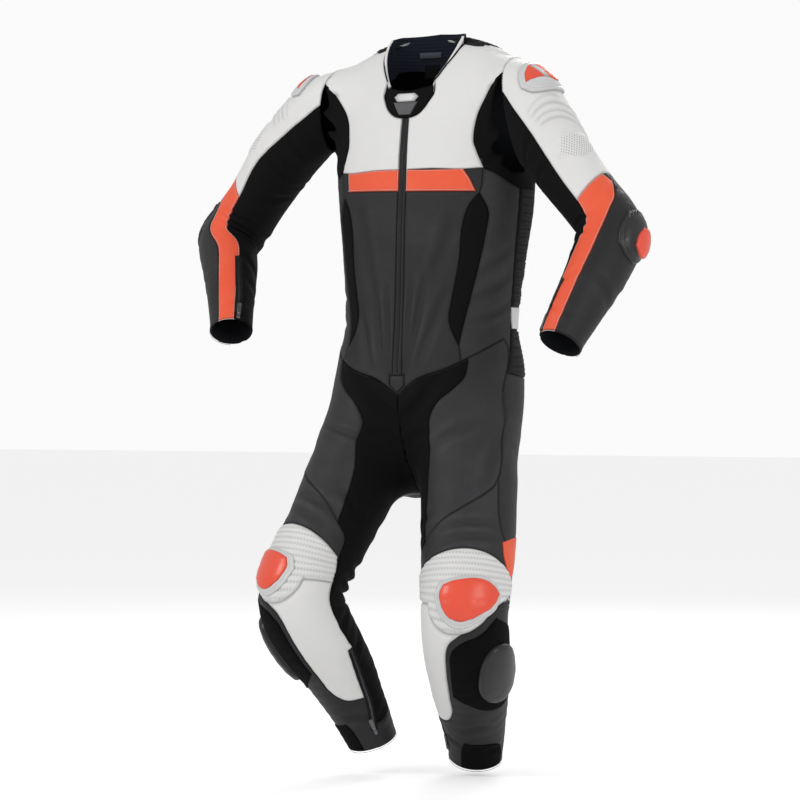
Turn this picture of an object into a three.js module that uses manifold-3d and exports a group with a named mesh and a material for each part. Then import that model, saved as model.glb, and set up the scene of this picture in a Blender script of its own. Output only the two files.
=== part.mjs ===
// Motorcycle race suit in one piece, held in its worn and hollow form with bent elbows and knees.
// Millimetres. The front is -Y, the wearer's left is +X, +Z is up, and the origin is on the shoulder line.
import * as THREE from 'three';
import { mergeVertices } from 'three/addons/utils/BufferGeometryUtils.js';
import Module from 'manifold-3d';

const wasm = await Module();
wasm.setup();

// Driving dimensions
const WALL = 2.4;            // leather with its fixed lining
const LINING = 2.0;          // quilted collar lining
const SEAM_GAP = 0.45;       // between two pieces of one surface, in its flat pattern
const PART_GAP = 0.42;       // between pieces of two surfaces: armholes, waist, collar
const PLANE_GAP = 0.4;       // across an armhole's plane and the middle of the crotch
const KEEP_REACH = 3;        // how far past such a plane a point is still simply moved back
const SLIVER = 0.06;             // facets thinner than this that a cut leaves behind are merged
const LAY_GAP = 1.2;         // between a hard piece and the panel that carries it
const ROW = 60;              // length of one facet along a limb or the trunk
const RIB_PITCH = 20;        // from one accordion rib to the next
const RIB_HEIGHT = 2;
const TRUNK_POWER = 2.35;    // squareness of the trunk's sections
const WAIST_TURN = 175;      // trouser rings stay level down to this length
const AXIS_TOP = -430;       // height where the trouser axes start
const LEG_AXIS_X = 84;
const LEG_AXIS_Y = -14;
const FAN_Z = -200;          // above this height the trunk's rays tilt up
const FAN_RATE = 0.25;       // degrees of tilt for each millimetre of pattern above it
const COLLAR_Y = -30;         // axis of the collar
const COLLAR_HALF = 80;      // half its width
const COLLAR_DEPTH = 60;     // half its depth
const ARMHOLE_X = 205;       // centre of the armhole ring
const ARMHOLE_Y = -22;
const ARMHOLE_Z = -82;
const ARMHOLE_TILT = 9.2;    // degrees by which the armhole plane leans in at its top

const table = (columns, rows) => rows.map((row) => Object.fromEntries(columns.map((c, i) => [c, row[i]])));

// Trunk sections, from the crotch up: height, centre, half width, depth before and behind the centre
const TRUNK = table(['z', 'y', 'outer', 'front', 'back'], [
  [-700, 0, 110, 70, 80],
  [-640, 0, 150, 100, 112],
  [-590, -4, 166, 116, 120],
  [-540, -5, 170, 120, 114],
  [-480, -6, 167, 115, 100],
  [-414, -4, 170, 113, 95],
  [-322, 0, 180, 114, 110],
  [-230, 4, 192, 113, 124],
  [-150, 4, 196, 108, 124],
  [-80, 0, 196, 94, 108],
  [-30, -6, 186, 72, 84],
  [4, -10, 158, 50, 60],
  [16, -12, 104, 46, 54],
]);

// Limb sections: centre, then radii away from the body, towards it, to the front and to the back
const LIMB_COLUMNS = ['x', 'y', 'z', 'outer', 'inner', 'front', 'back'];
const ARM_LEFT = table(LIMB_COLUMNS, [
  [185, -20, -30, 46, 60, 56, 60],
  [212, -24, -42, 48, 70, 62, 64],
  [236, -27, -80, 54, 74, 68, 68],
  [274, -33, -144, 58, 66, 66, 66],
  [336, -40, -222, 54, 58, 60, 60],
  [386, -46, -280, 58, 54, 60, 60],
  [402, -60, -312, 60, 52, 58, 62],
  [402, -95, -362, 55, 52, 55, 58],
  [392, -140, -425, 46, 46, 48, 50],
  [383, -178, -478, 40, 40, 41, 42],
  [380, -196, -503, 38, 38, 38, 39],
]);
const ARM_RIGHT = table(LIMB_COLUMNS, [
  [-185, -20, -30, 46, 60, 56, 60],
  [-228, -22, -42, 48, 70, 62, 64],
  [-272, -16, -80, 54, 72, 68, 68],
  [-332, -8, -138, 58, 64, 66, 66],
  [-394, 0, -212, 56, 56, 60, 60],
  [-438, 4, -268, 62, 52, 60, 60],
  [-450, -12, -302, 62, 50, 58, 62],
  [-422, -52, -350, 54, 50, 54, 56],
  [-394, -92, -402, 45, 45, 47, 49],
  [-369, -126, -452, 40, 40, 40, 41],
  [-360, -140, -474, 39, 39, 38, 39],
]);
const LEG_LEFT = table(LIMB_COLUMNS, [
  [84, -12, -560, 70, 90, 96, 104],
  [88, -20, -640, 77, 86, 98, 102],
  [105, -50, -740, 88, 84, 92, 94],
  [128, -88, -850, 84, 84, 88, 88],
  [150, -128, -940, 78, 78, 84, 78],
  [155, -140, -985, 76, 76, 82, 74],
  [142, -114, -1040, 76, 78, 76, 76],
  [118, -64, -1110, 70, 72, 66, 72],
  [96, -16, -1185, 57, 58, 54, 60],
  [82, 12, -1240, 50, 50, 48, 50],
  [76, 20, -1262, 48, 48, 47, 48],
]);
const LEG_RIGHT = table(LIMB_COLUMNS, [
  [-84, -12, -560, 90, 90, 96, 104],
  [-92, -34, -640, 100, 82, 104, 100],
  [-104, -88, -730, 94, 72, 98, 90],
  [-120, -150, -830, 84, 68, 90, 80],
  [-136, -202, -915, 82, 68, 84, 72],
  [-142, -218, -962, 77, 72, 82, 72],
  [-134, -198, -1015, 74, 74, 74, 78],
  [-118, -148, -1085, 64, 64, 62, 72],
  [-101, -106, -1155, 54, 52, 50, 58],
  [-90, -74, -1215, 46, 45, 43, 49],
  [-87, -64, -1240, 45, 43, 42, 46],
]);

const rad = THREE.MathUtils.degToRad;
const deg = THREE.MathUtils.radToDeg;
const vec = (x, y, z) => new THREE.Vector3(x, y, z);

// A smooth run of samples through rows of numbers, evenly spaced from row to row
function smoothRows(rows, count) {
  const before = rows[0].map((value, i) => 2 * value - rows[1][i]);
  const end = rows.length - 1;
  const after = rows[end].map((value, i) => 2 * value - rows[end - 1][i]);
  const all = [before, ...rows, after];
  const samples = [];
  for (let k = 0; k < count; k += 1) {
    const place = k * end / (count - 1);
    const i = Math.min(Math.floor(place), end - 1);
    const t = place - i;
    samples.push(rows[0].map((unused, c) => {
      const [a, b, d, e] = [all[i][c], all[i + 1][c], all[i + 2][c], all[i + 3][c]];
      return 0.5 * (2 * b + (d - a) * t + (2 * a - 5 * b + 4 * d - e) * t * t + (3 * b - a - 3 * d + e) * t ** 3);
    }));
  }
  return samples;
}

// One limb or the trunk as a run of sections, each with its own frame and four radii
class Tube {
  constructor(rows, side, count, power, lift) {
    this.power = power;
    this.flat = power > 2;
    this.centres = rows.map((r) => vec(r[0], r[1], r[2]));
    this.radii = rows.map((r) => r.slice(3));
    const outward = vec(side, 0, lift).normalize();
    this.frames = this.centres.map((c, i) => {
      const next = this.centres[Math.min(i + 1, count - 1)];
      const last = this.centres[Math.max(i - 1, 0)];
      const along = next.clone().sub(last).normalize();
      const out = outward.clone().addScaledVector(along, -along.dot(outward)).normalize();
      const front = along.clone().cross(out);
      if (front.y > 0) front.negate();
      return { out, front };
    });
  }

  // Signed distance, close to true near the surface
  distance(x, y, z) {
    let best = 1e9;
    for (let i = 0; i + 1 < this.centres.length; i += 1) {
      const a = this.centres[i];
      const b = this.centres[i + 1];
      const dx = b.x - a.x;
      const dy = b.y - a.y;
      const dz = b.z - a.z;
      const square = dx * dx + dy * dy + dz * dz;
      const t = Math.min(1, Math.max(0, ((x - a.x) * dx + (y - a.y) * dy + (z - a.z) * dz) / square));
      const rx = x - a.x - t * dx;
      const ry = y - a.y - t * dy;
      const rz = z - a.z - t * dz;
      const s = 1 - t;
      const f = this.frames[i];
      const g = this.frames[i + 1];
      const out = rx * (f.out.x * s + g.out.x * t) + ry * (f.out.y * s + g.out.y * t)
        + rz * (f.out.z * s + g.out.z * t);
      const front = rx * (f.front.x * s + g.front.x * t) + ry * (f.front.y * s + g.front.y * t)
        + rz * (f.front.z * s + g.front.z * t);
      const along = (rx * dx + ry * dy + rz * dz) / Math.sqrt(square);
      const p = this.radii[i];
      const q = this.radii[i + 1];
      const sideRadius = out > 0 ? p[0] * s + q[0] * t : p[1] * s + q[1] * t;
      const faceRadius = front > 0 ? p[2] * s + q[2] * t : p[3] * s + q[3] * t;
      const mean = this.flat ? Math.min(sideRadius, faceRadius) : (sideRadius + faceRadius) / 2;
      const n = this.power;
      const size = Math.max(1e-6, (Math.abs(out / sideRadius) ** n + Math.abs(front / faceRadius) ** n
        + Math.abs(along / mean) ** n) ** (1 / n));
      const length = Math.sqrt(rx * rx + ry * ry + rz * rz);
      best = Math.min(best, length < 1e-6 ? -mean : length * (1 - 1 / size));
    }
    return best;
  }
}

function trunkTube() {
  const count = 60;
  const rows = smoothRows(TRUNK.map((r) => [r.z, r.y, r.outer, r.front, r.back]), count);
  const tube = new Tube(rows.map((r) => [0, r[1], r[0], r[2], r[2], r[3], r[4]]), 1, count, TRUNK_POWER, 0);
  tube.frames.forEach((f) => {
    f.out.set(1, 0, 0);
    f.front.set(0, -1, 0);
  });
  return tube;
}

const limbRows = (rows) => rows.map((r) => [r.x, r.y, r.z, r.outer, r.inner, r.front, r.back]);
const limbTube = (rows, side, lift) => new Tube(smoothRows(limbRows(rows), 40), side, 40, 2, lift);

const trunk = trunkTube();
const armLeft = limbTube(ARM_LEFT, 1, 0.6);
const armRight = limbTube(ARM_RIGHT, -1, 0.6);
const legLeft = limbTube(LEG_LEFT, 1, 0);
const legRight = limbTube(LEG_RIGHT, -1, 0);

function softMin(a, b, width) {
  const h = Math.max(width - Math.abs(a - b), 0) / width;
  return Math.min(a, b) - h * h * width / 4;
}

// The whole garment's outer form: trunk, sleeves and legs run into each other
const SHOULDER_BLEND = 46;
const HIP_BLEND = 50;
const CROTCH_BLEND = 24;
function form(x, y, z) {
  let value = trunk.distance(x, y, z);
  if (z > -600) value = softMin(value, armLeft.distance(x, y, z), SHOULDER_BLEND);
  if (z > -600) value = softMin(value, armRight.distance(x, y, z), SHOULDER_BLEND);
  if (z > -350) return value;
  const legs = softMin(legLeft.distance(x, y, z), legRight.distance(x, y, z), CROTCH_BLEND);
  return softMin(value, legs, HIP_BLEND);
}
function outwards(p) {
  const step = 1.5;
  return vec(form(p.x + step, p.y, p.z) - form(p.x - step, p.y, p.z),
    form(p.x, p.y + step, p.z) - form(p.x, p.y - step, p.z),
    form(p.x, p.y, p.z + step) - form(p.x, p.y, p.z - step)).normalize();
}
// Where a ray from an axis leaves the form
function leave(origin, ray, near, far) {
  const at = (t) => form(origin.x + ray.x * t, origin.y + ray.y * t, origin.z + ray.z * t);
  const step = (far - near) / 16;
  let a = near;
  let b = near + step;
  while (b < far && at(b) <= 0) {
    a = b;
    b += step;
  }
  for (let i = 0; i < 14; i += 1) {
    const middle = (a + b) / 2;
    if (at(middle) > 0) b = middle;
    else a = middle;
  }
  return origin.clone().addScaledVector(ray, (a + b) / 2);
}

// Charts. Each gives a point of the form for u, degrees around, and v, millimetres along.
const trunkRay = (u, v) => {
  const tilt = rad(Math.max(v - FAN_Z, 0) * FAN_RATE);
  const turn = rad(u);
  return {
    origin: vec(0, 0, Math.min(v, FAN_Z)),
    ray: vec(Math.sin(turn) * Math.cos(tilt), -Math.cos(turn) * Math.cos(tilt), Math.sin(tilt)),
  };
};
function trunkPattern(p) {
  const reach = Math.hypot(p.x, p.y);
  const u = deg(Math.atan2(p.x, -p.y));
  return [u, p.z <= FAN_Z ? p.z : FAN_Z + deg(Math.atan2(p.z - FAN_Z, reach)) / FAN_RATE];
}
const neckRay = (u, v) => ({ origin: vec(0, COLLAR_Y, v), ray: vec(Math.sin(rad(u)), -Math.cos(rad(u)), 0) });
const collarRadius = (u) => 1 / Math.hypot(Math.sin(rad(u)) / COLLAR_HALF, Math.cos(rad(u)) / COLLAR_DEPTH);
function collarPoint(u, v, inset = 0) {
  const { origin, ray } = neckRay(u, v);
  return origin.addScaledVector(ray, collarRadius(u) - inset);
}
// Where the collar's tube comes down on the shoulders and chest
function seamHeight(u) {
  let v = 60;
  while (form(...collarPoint(u, v)) > 0) v -= 1;
  return v;
}

// A limb's rings start square to one direction and turn until they are square to the limb's own axis
class LimbAxis {
  constructor({ points, first, turnFrom, turnTo, outward, soft }) {
    const samples = 200;
    this.points = smoothRows(points, samples).map((p) => vec(...p));
    this.lengths = [0];
    for (let i = 1; i < samples; i += 1) {
      this.lengths.push(this.lengths[i - 1] + this.points[i].distanceTo(this.points[i - 1]));
    }
    const end = samples - 1;
    const raw = this.points.map((p, i) => this.points[Math.min(i + 1, end)].clone()
      .sub(this.points[Math.max(i - 1, 0)]).normalize());
    this.frames = this.points.map((p, i) => {
      const along = vec(0, 0, 0);
      raw.forEach((r, k) => {
        along.addScaledVector(r, Math.exp(-0.5 * ((this.lengths[k] - this.lengths[i]) / soft) ** 2));
      });
      along.normalize();
      const share = THREE.MathUtils.smoothstep(this.lengths[i], turnFrom, turnTo);
      const square = first.clone().multiplyScalar(1 - share).addScaledVector(along, share).normalize();
      const out = outward.clone().addScaledVector(square, -square.dot(outward)).normalize();
      const front = square.clone().cross(out);
      if (front.y > 0) front.negate();
      return { out, front };
    });
    this.length = this.lengths[end];
  }

  ray(u, v) {
    const place = this.lengths.findIndex((length) => length > v);
    const i = v < 0 ? 0 : place < 0 ? this.points.length - 2 : place - 1;
    const t = (v - this.lengths[i]) / (this.lengths[i + 1] - this.lengths[i]);
    const mix = (a, b) => a.clone().lerp(b, t);
    const f = this.frames[i];
    const g = this.frames[i + 1];
    const ray = mix(f.out, g.out).multiplyScalar(Math.cos(rad(u)))
      .addScaledVector(mix(f.front, g.front), Math.sin(rad(u))).normalize();
    return { origin: mix(this.points[i], this.points[i + 1]), ray };
  }
}

// A chart keeps to its own side of some planes, such as the armholes' and the middle of the crotch
class Chart {
  constructor({ ray, column, perDegree, near, far, bounds = [] }) {
    this.column = column;
    this.perDegree = perDegree;
    this.rayAt = ray;
    this.near = near;
    this.far = far;
    this.bounds = bounds;
  }

  at(u, v) {
    const { origin, ray } = this.rayAt(u, v);
    const point = leave(origin, ray, this.near, this.far);
    this.bounds.forEach((plane) => {
      if (plane.distanceToPoint(point) >= -KEEP_REACH) return;
      point.copy(origin).addScaledVector(ray, -plane.distanceToPoint(origin) / plane.normal.dot(ray));
    });
    return point;
  }

  // The outward direction of the surface at a pattern point
  outward(u, v) {
    return outwards(this.at(u, v));
  }

  // Puts a point back on this chart's side of its planes
  keep(point) {
    this.bounds.forEach((plane) => {
      const past = plane.distanceToPoint(point);
      if (past < 0) point.addScaledVector(plane.normal, -past);
    });
    return point;
  }
}

const centre = (row) => [row.x, row.y, row.z];
// The armhole plane, facing out along the arm, or in towards the trunk; each side stops short of it
function armholePlane(side, facing) {
  const tilt = rad(ARMHOLE_TILT);
  const normal = vec(side * Math.cos(tilt), 0, Math.sin(tilt)).multiplyScalar(facing);
  const plane = new THREE.Plane().setFromNormalAndCoplanarPoint(normal,
    vec(ARMHOLE_X * side, ARMHOLE_Y, ARMHOLE_Z));
  plane.constant -= PLANE_GAP / 2;
  return plane;
}
const middlePlane = (side) => new THREE.Plane(vec(side, 0, 0), -PLANE_GAP / 2);
function armAxis(rows, side) {
  const tilt = rad(ARMHOLE_TILT);
  return new LimbAxis({
    points: [[ARMHOLE_X * side, ARMHOLE_Y, ARMHOLE_Z], ...rows.slice(3).map(centre)],
    first: vec(side * Math.cos(tilt), 0, Math.sin(tilt)),
    turnFrom: 0,
    turnTo: 230,
    outward: vec(side, 0, 0.9).normalize(),
    soft: 34,
  });
}
// The trouser axes lean forward between the level rings and the thigh's own centres
function legAxis(rows, side, lean) {
  const level = [0, -90, -180, -202].map((drop) => [LEG_AXIS_X * side, LEG_AXIS_Y, AXIS_TOP + drop]);
  return new LimbAxis({
    points: [...level, ...lean.map((r) => [r.x * side, r.y, r.z]), ...rows.slice(3).map(centre)],
    first: vec(0, 0, -1),
    turnFrom: WAIST_TURN,
    turnTo: 420,
    outward: vec(side, 0, 0),
    soft: 30,
  });
}
const LEAN_LEFT = table(['x', 'y', 'z'], [[94, -30, -670], [105, -52, -745]]);
const LEAN_RIGHT = table(['x', 'y', 'z'], [[94, -46, -675], [106, -94, -745]]);
const limbChart = (axis, column, perDegree, bound) => new Chart({
  ray: (u, v) => axis.ray(u, v), column, perDegree, near: 8, far: 200, bounds: [bound],
});

const trunkChart = new Chart({ ray: trunkRay, column: 15, perDegree: 2.6, near: 20, far: 420,
  bounds: [armholePlane(1, -1), armholePlane(-1, -1)] });
// The collar is a tube of its own. The throat's chart is that tube above its seam and the chest below it.
const neckChart = new Chart({ ray: neckRay, column: 15, perDegree: 1.3, near: 20, far: 300 });
neckChart.at = (u, v) => collarPoint(u, v);
neckChart.outward = (u) => vec(Math.sin(rad(u)) / COLLAR_HALF ** 2, -Math.cos(rad(u)) / COLLAR_DEPTH ** 2, 0)
  .normalize();
const throatChart = new Chart({ ray: neckRay, column: 15, perDegree: 1.3, near: 20, far: 300 });
throatChart.at = (u, v) => {
  const tube = collarPoint(u, v);
  if (form(...tube) > 0) return tube;
  const { origin, ray } = neckRay(u, v);
  return leave(origin, ray, collarRadius(u) - 5, throatChart.far);
};
throatChart.outward = neckChart.outward;
const SLEEVE_AXES = { left: armAxis(ARM_LEFT, 1), right: armAxis(ARM_RIGHT, -1) };
const LEG_AXES = { left: legAxis(LEG_LEFT, 1, LEAN_LEFT), right: legAxis(LEG_RIGHT, -1, LEAN_RIGHT) };
const SLEEVES = {
  left: limbChart(SLEEVE_AXES.left, 25, 1.05, armholePlane(1, 1)),
  right: limbChart(SLEEVE_AXES.right, 25, 1.05, armholePlane(-1, 1)),
};
const LEGS = {
  left: limbChart(LEG_AXES.left, 24, 1.45, middlePlane(1)),
  right: limbChart(LEG_AXES.right, 24, 1.45, middlePlane(-1)),
};

// Flat pattern work: a slab of cells is cut by the outline of its piece and of the pieces sewn over it
const SLAB = 10;
const RELIEF = 3000;         // the slab is a shallow bowl, so that no two of its cells are level
const relief = (x, y) => (x * x + y * y) / RELIEF;

function toManifold(geometry) {
  geometry.deleteAttribute('normal');
  geometry.deleteAttribute('uv');
  const merged = mergeVertices(geometry, 1e-4);
  return new wasm.Manifold(new wasm.Mesh({
    numProp: 3,
    vertProperties: merged.attributes.position.array,
    triVerts: new Uint32Array(merged.index.array),
  }));
}

// An outline moved outwards by a distance, corner by corner
function grow(outline, distance) {
  const turn = Math.sign(THREE.ShapeUtils.area(outline));
  return outline.map((p, i) => {
    const before = outline[(i + outline.length - 1) % outline.length];
    const after = outline[(i + 1) % outline.length];
    const a = p.clone().sub(before).normalize();
    const b = after.clone().sub(p).normalize();
    const normal = new THREE.Vector2(a.y + b.y, -a.x - b.x).multiplyScalar(turn).normalize();
    const cosine = Math.max(0.5, normal.dot(new THREE.Vector2(a.y, -a.x).multiplyScalar(turn)));
    return p.clone().addScaledVector(normal, distance / cosine);
  });
}

const flatten = (chart, outline) => outline.map(([u, v]) => new THREE.Vector2(u * chart.perDegree, v));
function prism(outline) {
  const geometry = new THREE.ExtrudeGeometry(new THREE.Shape(outline), { depth: 800, bevelEnabled: false });
  geometry.translate(0, 0, -200);
  return toManifold(geometry);
}

function slab(chart, outline, row, column) {
  const snap = (values, step) => {
    const low = Math.floor(Math.min(...values) / step) * step;
    const count = Math.max(1, Math.ceil((Math.max(...values) - low) / step));
    return { low, count, size: count * step };
  };
  const across = snap(outline.map((p) => p[0]), column);
  const along = snap(outline.map((p) => p[1]), row);
  const width = across.size * chart.perDegree;
  const geometry = new THREE.BoxGeometry(width, along.size, SLAB, across.count, along.count, 1);
  geometry.translate(across.low * chart.perDegree + width / 2, along.low + along.size / 2, 0);
  const position = geometry.attributes.position;
  for (let i = 0; i < position.count; i += 1) {
    position.setZ(i, position.getZ(i) + relief(position.getX(i), position.getY(i)));
  }
  return toManifold(geometry);
}

// Cuts one piece from its slab. Later outlines lie over it, and are taken from it with the seam gap.
function cutFlat(chart, { outline, row = ROW, column = chart.column }, later) {
  let flat = slab(chart, outline, row, column).intersect(prism(flatten(chart, outline)));
  const [low, high] = [Math.min, Math.max].map((pick) => pick(...outline.map((p) => p[0])));
  later.forEach((cut) => {
    [-360, 0, 360].forEach((shift) => {
      const moved = cut.outline.map(([u, v]) => [u + shift, v]);
      const us = moved.map((p) => p[0]);
      if (Math.min(...us) > high || Math.max(...us) < low) return;
      flat = flat.subtract(prism(grow(flatten(chart, moved), cut.gap ?? SEAM_GAP)));
    });
  });
  const parts = flat.decompose().sort((a, b) => b.volume() - a.volume());
  return parts[0];
}

// Lays a flat piece on the form: place(u, v, top) gives the point of each corner
function drape(chart, flat, place) {
  const mesh = flat.getMesh();
  const source = mesh.vertProperties;
  const corners = [];
  for (let i = 0; i < source.length; i += mesh.numProp) {
    const [x, y, z] = [source[i], source[i + 1], source[i + 2]];
    corners.push({ u: x / chart.perDegree, v: y, top: z > relief(x, y) });
  }
  const points = corners.map((c) => place(c.u, c.v, c.top));
  const geometry = new THREE.BufferGeometry();
  geometry.setAttribute('position', new THREE.Float32BufferAttribute(points.flatMap((p) => p.toArray()), 3));
  geometry.setIndex([...mesh.triVerts]);
  if (volume(points, mesh.triVerts) < 0) {
    const index = geometry.index.array;
    for (let i = 0; i < index.length; i += 3) [index[i + 1], index[i + 2]] = [index[i + 2], index[i + 1]];
  }
  return { geometry, corners, points, triangles: mesh.triVerts };
}
function volume(points, triangles) {
  let sum = 0;
  for (let i = 0; i < triangles.length; i += 3) {
    const [a, b, c] = [points[triangles[i]], points[triangles[i + 1]], points[triangles[i + 2]]];
    sum += a.dot(b.clone().cross(c));
  }
  return sum;
}

const suit = new THREE.Group();
const pieces = {};
const MATERIALS = {
  white: { color: 0xe8e7e4, roughness: 0.5 },
  orange: { color: 0xff5c3c, roughness: 0.5 },
  leather: { color: 0x2c2c2e, roughness: 0.55 },
  greyLeather: { color: 0x3a3a3c, roughness: 0.55 },
  stretch: { color: 0x141415, roughness: 0.85 },
  plastic: { color: 0x1b1b1c, roughness: 0.35 },
  metal: { color: 0x55565a, roughness: 0.35, metalness: 0.9 },
};
function addMesh(name, material, geometry) {
  const mesh = new THREE.Mesh(geometry, new THREE.MeshStandardMaterial(MATERIALS[material]));
  mesh.name = name;
  suit.add(mesh);
}

// A cloth or leather piece: a wall whose outer face lies on the form, raised where it has ribs
function addPanel(chart, spec, later) {
  const { name, material, wall = WALL, lift = 0, raise = () => 0 } = spec;
  const flat = cutFlat(chart, spec, later);
  const place = (u, v, top) => {
    const p = chart.at(u, v);
    const height = top ? lift + raise(u, v) : lift - wall;
    return chart.keep(p.addScaledVector(chart.outward(u, v), height));
  };
  const draped = drape(chart, flat, place);
  pieces[name] = { chart, spec, later, ...draped };
  addMesh(name, material, draped.geometry);
}
// Pieces of one chart in sewing order, each later one cutting its outline from those before it
function addPanels(chart, specs, holes) {
  specs.forEach((spec, i) => addPanel(chart, spec, [...specs.slice(i + 1), ...holes]));
}

// In the tight creases of elbows and knees the facets of two pieces can still meet. The lower piece is
// cut back there by a thicker and slightly wider copy of the piece over it.
function cutBack(name, over, depth) {
  const { chart, spec, later } = pieces[over];
  const wider = grow(flatten(chart, spec.outline), SEAM_GAP).map((p) => [p.x / chart.perDegree, p.y]);
  const flat = cutFlat(chart, { ...spec, outline: wider }, later);
  const place = (u, v, top) => {
    const p = chart.at(u, v);
    return p.addScaledVector(chart.outward(u, v), top ? depth : -WALL - depth);
  };
  const cutter = toManifold(drape(chart, flat, place).geometry);
  const mesh = suit.getObjectByName(name);
  const rest = toManifold(mesh.geometry.clone()).subtract(cutter).simplify(SLIVER).decompose();
  const left = rest.sort((a, b) => b.volume() - a.volume())[0].getMesh();
  const geometry = new THREE.BufferGeometry();
  geometry.setAttribute('position', new THREE.Float32BufferAttribute(left.vertProperties, 3));
  geometry.setIndex([...left.triVerts]);
  mesh.geometry = geometry;
}

// The facet of a draped piece under a pattern point, with the form's outward direction there
function facetOf(piece, u, v) {
  const { corners, points, triangles, chart } = piece;
  const x = u * chart.perDegree;
  let best = null;
  for (let i = 0; i < triangles.length; i += 3) {
    const ids = [triangles[i], triangles[i + 1], triangles[i + 2]];
    if (ids.some((id) => !corners[id].top)) continue;
    const [a, b, c] = ids.map((id) => new THREE.Vector2(corners[id].u * chart.perDegree, corners[id].v));
    const area = (b.x - a.x) * (c.y - a.y) - (b.y - a.y) * (c.x - a.x);
    if (Math.abs(area) < 1e-9) continue;
    const s = ((b.x - x) * (c.y - v) - (b.y - v) * (c.x - x)) / area;
    const t = ((c.x - x) * (a.y - v) - (c.y - v) * (a.x - x)) / area;
    const inside = Math.min(s, t, 1 - s - t);
    if (!best || inside > best.inside) best = { inside, ids, share: [s, t, 1 - s - t] };
  }
  const point = vec(0, 0, 0);
  best.ids.forEach((id, i) => point.addScaledVector(points[id], best.share[i]));
  return point;
}
// A hard piece on one panel, its underside on the panel's facets and its top a height above them
function addHardPiece(spec) {
  const { name, material, carrier, outline, height, lay = LAY_GAP, split = 2 } = spec;
  const piece = pieces[carrier];
  const { chart } = piece;
  const flat = cutFlat(chart, { outline, row: ROW / split, column: chart.column / split }, []);
  const place = (u, v, top) => {
    const p = facetOf(piece, u, v);
    const away = chart.outward(u, v);
    return p.addScaledVector(away, lay + (top ? height(u, v) : 0));
  };
  const draped = drape(chart, flat, place);
  addMesh(name, material, draped.geometry);
}

// Seams that two charts share, as points of the form
const TAB_EDGE = [[-44, -44], [-40, -54], [-34, -68], [-24, -80], [-8, -86], [10, -85], [24, -78], [34, -64],
  [40, -52], [44, -44]];
const COLLAR_TOP = table(['u', 'v'], [
  [44, -28], [51, -16], [65, 12], [74, 30], [86, 52], [96, 66], [112, 72], [180, 77],
]);
const WAIST_HALF = table(['u', 'v'], [
  [0, -589], [18, -561], [40, -541], [55, -521], [72, -497], [80, -488], [83, -500], [81, -549],
  [100, -556], [140, -562], [180, -563],
]);
const pairs = (rows) => rows.map((r) => [r.u, r.v]);
const mirror = (outline) => outline.map(([u, v]) => [-u, v]);

// Points put along a line of pattern points, no further apart than a step in millimetres
function refine(line, perDegree, step) {
  const points = [];
  line.forEach((p, i) => {
    points.push(p);
    const q = line[i + 1];
    if (!q) return;
    const count = Math.floor(Math.hypot((q[0] - p[0]) * perDegree, q[1] - p[1]) / step);
    for (let k = 1; k <= count; k += 1) {
      const t = k / (count + 1);
      points.push([p[0] + (q[0] - p[0]) * t, p[1] + (q[1] - p[1]) * t]);
    }
  });
  return points;
}

// Around +-180 degrees a pattern outline goes on past 180 instead of jumping back
function unroll(outline) {
  const result = [outline[0]];
  outline.slice(1).forEach(([u, v]) => {
    const last = result[result.length - 1][0];
    result.push([u + 360 * Math.round((last - u) / 360), v]);
  });
  return result;
}

const SEAM_STEP = 20;
const COLLAR_SEAM = [];
for (let u = 48; u <= 312; u += 8) COLLAR_SEAM.push([u, seamHeight(u)]);
const neckSeam = [...refine(TAB_EDGE, neckChart.perDegree, SEAM_STEP), ...COLLAR_SEAM];
const neckLine = unroll(neckSeam.map(([u, v]) => trunkPattern(throatChart.at(u, v))));
const [neckFrom, neckStart] = neckLine[0];
const neckHole = [...neckLine, [neckFrom + 360, neckStart], [neckFrom + 360, 250], [neckFrom, 250]];
const armholeOf = (side) => {
  const outline = [];
  for (let u = 0; u < 360; u += 10) outline.push(trunkPattern(SLEEVES[side].at(u, 0)));
  return unroll(outline);
};
const waistLeft = refine(pairs(WAIST_HALF), trunkChart.perDegree, SEAM_STEP);
const waistRound = [...mirror(waistLeft).reverse(), ...waistLeft.slice(1)];
const belowWaist = [...waistRound, [180, -760], [-180, -760]];

const TRUNK_HOLES = [
  { outline: neckHole, gap: PART_GAP },
  { outline: armholeOf('left'), gap: 0 },
  { outline: armholeOf('right'), gap: 0 },
  { outline: belowWaist, gap: PART_GAP },
];

// Soft folds of the front leather, fanning up from the lower end of the zip
const FRONT_FOLDS = table(['u', 'lean', 'width', 'depth', 'low', 'high'], [
  [11, 0.055, 3.2, 2.2, -555, -400],
  [20, 0.10, 4.0, 2.6, -545, -380],
  [31, 0.12, 4.5, 2.0, -530, -420],
  [-12, -0.05, 3.4, 2.4, -555, -390],
  [-22, -0.09, 4.2, 2.0, -540, -400],
  [-34, -0.13, 4.5, 2.6, -525, -430],
]);
function foldHeight(folds, u, v) {
  return folds.reduce((sum, f) => {
    const along = (v - f.low) / (f.high - f.low);
    if (along <= 0 || along >= 1) return sum;
    const middle = f.u + f.lean * (v - f.low);
    const across = (u - middle) / f.width;
    return sum - f.depth * Math.sin(Math.PI * along) * Math.exp(-across * across);
  }, 0);
}
const frontFolds = (u, v) => foldHeight(FRONT_FOLDS, u, v);
function ribs(pitch, height) {
  return (u, v) => {
    const place = v / pitch - Math.floor(v / pitch);
    return height * (1 - Math.abs(2 * place - 1));
  };
}

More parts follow.
